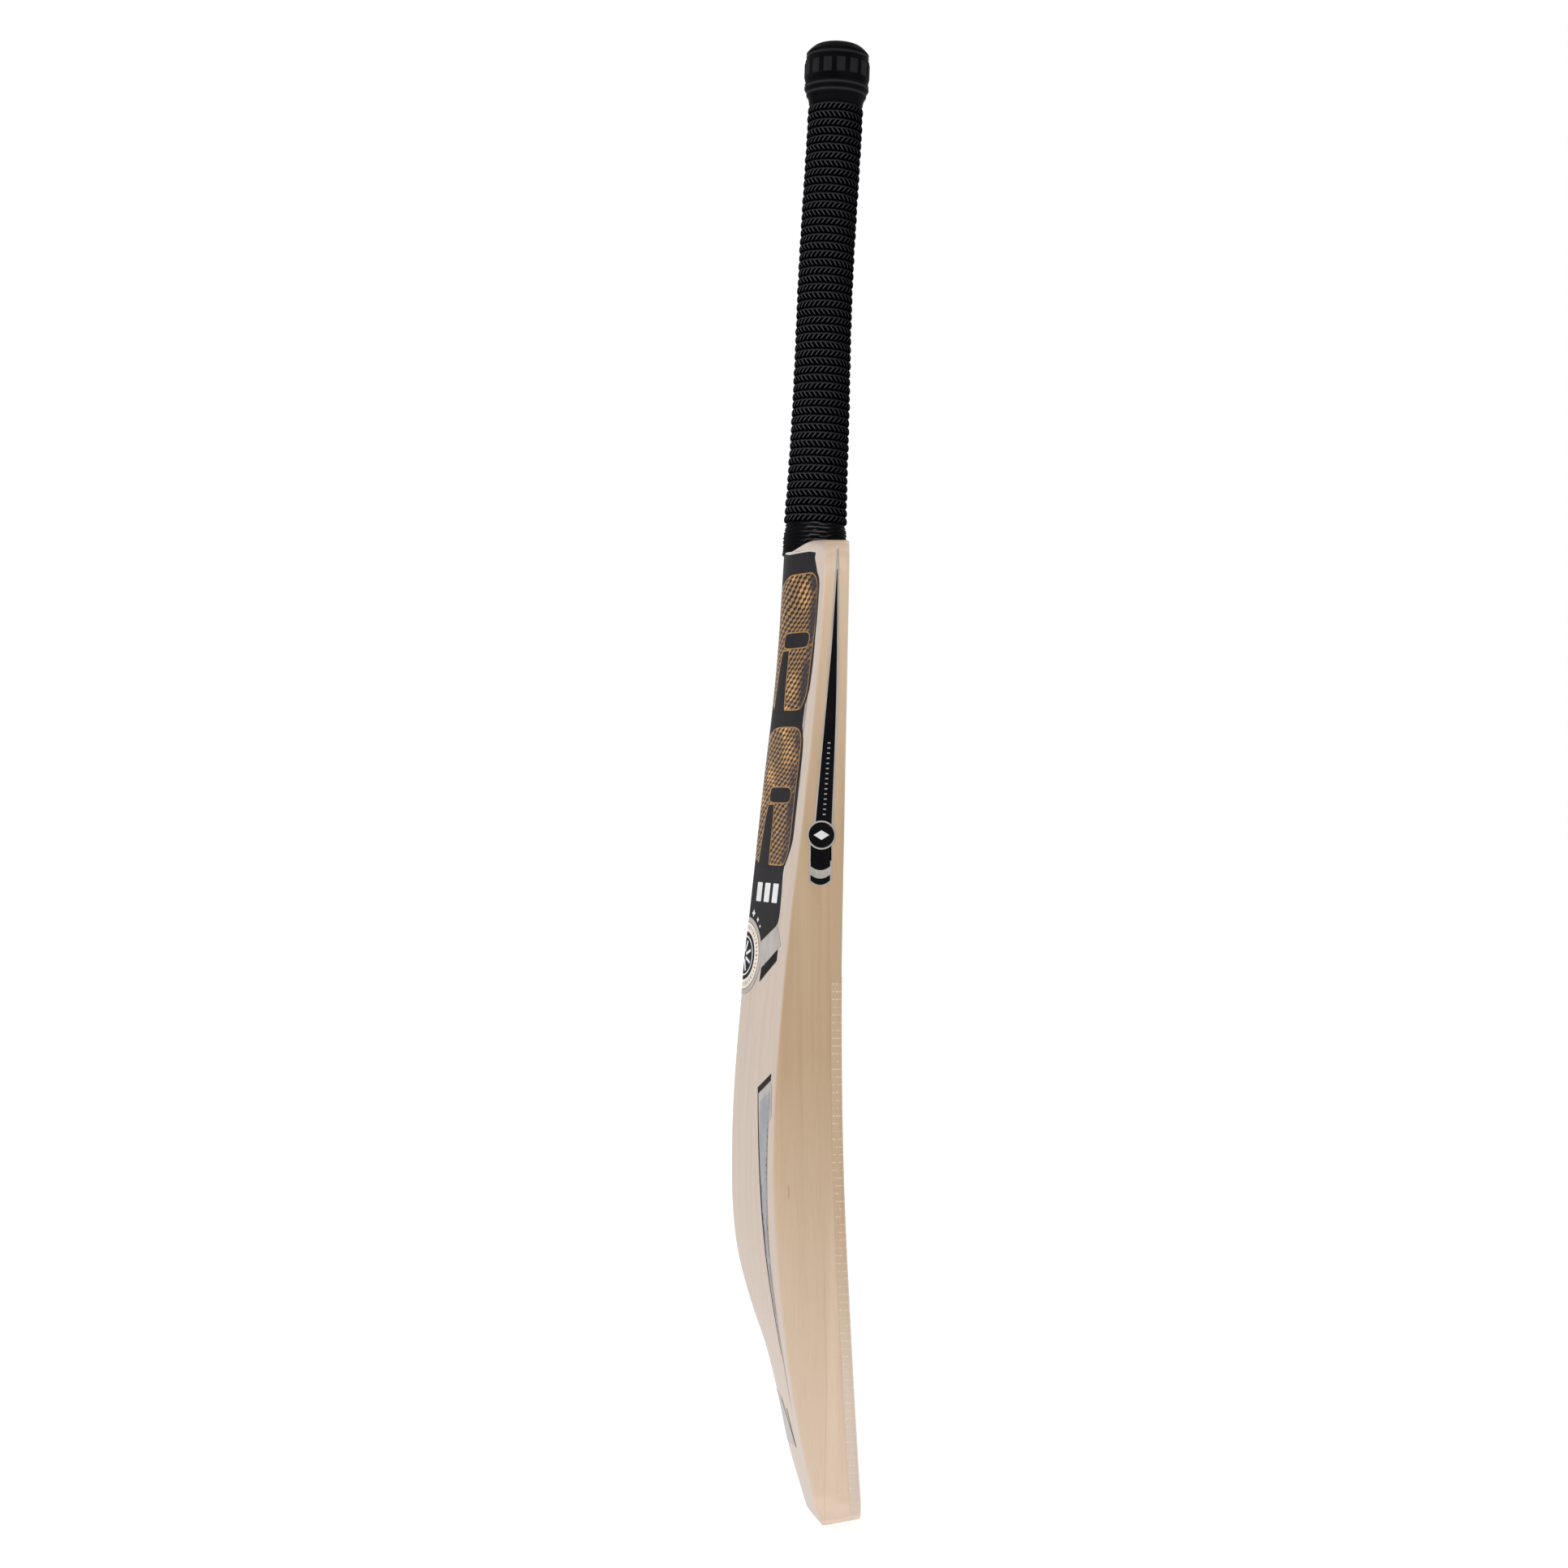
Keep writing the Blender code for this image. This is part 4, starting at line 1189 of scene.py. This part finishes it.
def make_chevrons(looks):
    """The lower side stickers: a slanted dark bar over a grey field that thins to a long stripe."""
    dark_bar = mm([(-48.0, 0.2600), (-47.9, 0.2560), (-33.2, 0.2466), (-32.5, 0.2502)])
    line = mm([
        (-32.5, 0.2502), (-35.2, 0.2259), (-38.0, 0.1947), (-39.8, 0.1676), (-40.5, 0.1498),
        (-41.3, 0.1200), (-41.5, 0.1000), (-42.0, 0.1000), (-42.0, 0.1200), (-41.5, 0.1498),
        (-40.9, 0.1676), (-39.1, 0.1947), (-36.2, 0.2259), (-33.6, 0.2480),
    ])
    pale = mm([
        (-33.2, 0.2466), (-47.9, 0.2556), (-49.6, 0.2520), (-50.8, 0.2370), (-46.6, 0.2308),
        (-46.4, 0.2199), (-45.8, 0.2013), (-45.6, 0.1787), (-44.8, 0.1507), (-44.2, 0.1200),
        (-43.9, 0.0957), (-42.4, 0.0655), (-41.9, 0.0957), (-41.8, 0.1200), (-41.2, 0.1507),
        (-39.0, 0.1947), (-36.2, 0.2259),
    ])
    grey = mm([
        (-35.6, 0.2424), (-47.6, 0.2505), (-49.2, 0.2380), (-45.4, 0.2322), (-45.2, 0.2199),
        (-44.6, 0.2013), (-44.4, 0.1787), (-43.6, 0.1507), (-43.2, 0.1200), (-43.0, 0.0957),
        (-42.2, 0.0957), (-42.4, 0.1200), (-42.2, 0.1507), (-40.6, 0.1900), (-37.9, 0.2259),
    ])
    layers = (
        ("dark", [dark_bar, line], 2, "film"),
        ("pale", [pale], 0, "silver"),
        ("grey", [grey], 1, "lilac"),
    )
    for side, name in ((1, "left"), (-1, "right")):
        nodes = [f"lower_sticker_{name}"]
        for layer, outlines, level, finish in layers:
            placed = outlines if side == 1 else [mirror(outline) for outline in outlines]
            sticker(f"chevron_{layer}_{name}", [(placed, on_back, level)], looks[finish], nodes)


def make_toe_mark(looks):
    field = both_sides(mm([(0.0, 0.0700), (-16.0, 0.0690), (-33.0, 0.0460), (0.0, 0.0400)]))
    strokes = [bar((-0.0139, 0.0680), (-0.0325, 0.0450), 0.0010)]
    strokes = twice(strokes + [bar((-0.0258, 0.0655), (-0.0318, 0.0450), 0.0012)])
    sticker("toe_mark_field", [([field], on_back, 0)], looks["silver"], ["toe_sticker"])
    sticker("toe_mark_strokes", [(strokes, on_back, 1)], looks["film"], ["toe_sticker"])


# ---------------------------------------------------------------- studio


def make_stage():
    shape = bmesh.new()
    bmesh.ops.create_circle(shape, cap_ends=True, segments=96, radius=14.0)
    floor = new_object("studio_floor", shape)
    floor.location.z = -TOE_SLANT * (TOE_BACK - TOE_LEVEL)
    floor.data.materials.append(stage_look("studio_white", (0.85, 0.85, 0.85)))


def make_light(name, kind, place, target, energy, **settings):
    data = bpy.data.lights.new(name, kind)
    data.energy = energy
    for key, value in settings.items():
        setattr(data, key, value)
    lamp = bpy.data.objects.new(name, data)
    lamp.location = place
    lamp.rotation_euler = (Vector(target) - Vector(place)).to_track_quat("-Z", "Y").to_euler()
    bpy.context.scene.collection.objects.link(lamp)


def make_studio():
    scene = bpy.context.scene
    world = bpy.data.worlds.new("studio")
    world.use_nodes = True
    background = world.node_tree.nodes["Background"]
    background.inputs["Color"].default_value = (1.0, 1.0, 1.0, 1.0)
    background.inputs["Strength"].default_value = 1.0
    scene.world = world
    scene.view_settings.view_transform = "Standard"
    middle = (0.0, 0.02, 0.42)
    make_light("key", "SUN", (-0.8, 2.6, 1.8), middle, 0.5, angle=math.radians(30))
    make_light("softbox", "AREA", (-1.2, 1.5, 0.9), middle, 2.0, shape="RECTANGLE", size=0.25, size_y=1.2)


def make_camera():
    data = bpy.data.cameras.new("camera")
    data.lens = CAMERA_LENS
    data.sensor_width = SENSOR
    camera = bpy.data.objects.new("camera", data)
    camera.location = CAMERA_PLACE
    camera.rotation_euler = (math.radians(90), 0.0, math.radians(-90))
    bpy.context.scene.collection.objects.link(camera)
    bpy.context.scene.camera = camera


def repaint(frame, prefix, look):
    for name, node in frame["nodes"].items():
        if name.startswith(prefix):
            node.data.materials.clear()
            node.data.materials.append(look)


def main():
    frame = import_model()
    make_camera()
    make_studio()
    make_stage()

    repaint(frame, "cane_", cane_look())
    repaint(frame, "rubber_spring", spring_look())
    repaint(frame, "handle_binding", thread_look())
    dress(make_blade(), willow_look(), ["blade"])
    dress(make_facing(), facing_look(), ["facing_sheet"])
    rubber = smooth_rubber_look()
    dress(make_grip_rings(), ringed_rubber_look(), ["grip"])
    dress(make_grip_foot(), rubber, ["grip"])
    dress(make_grip_collar(), rubber, ["grip"])

    looks = {
        "film": film_look(),
        "scales": scales_look(),
        "gold_line": plain_film("sticker_gold_line", srgb(160, 120, 66), srgb(134, 98, 54)),
        "white": plain_film("sticker_white", srgb(212, 212, 212), srgb(200, 200, 202)),
        "silver": plain_film("sticker_silver", srgb(168, 162, 156), srgb(154, 148, 142)),
        "pale": plain_film("sticker_pale", srgb(196, 188, 184), srgb(186, 178, 174)),
        "lilac": plain_film("sticker_lilac", srgb(146, 146, 150), srgb(134, 134, 137)),
        "brown": plain_film("sticker_brown", srgb(120, 96, 84), srgb(104, 84, 74)),
        "cream": plain_film("sticker_cream", srgb(216, 206, 192), srgb(206, 196, 184)),
        "black": plain_film("sticker_black", srgb(10, 10, 12), srgb(15, 15, 17), shine=0.03),
    }
    make_main_sticker(looks)
    make_badge(looks)
    make_edge_labels(looks)
    make_chevrons(looks)
    make_toe_mark(looks)


main()
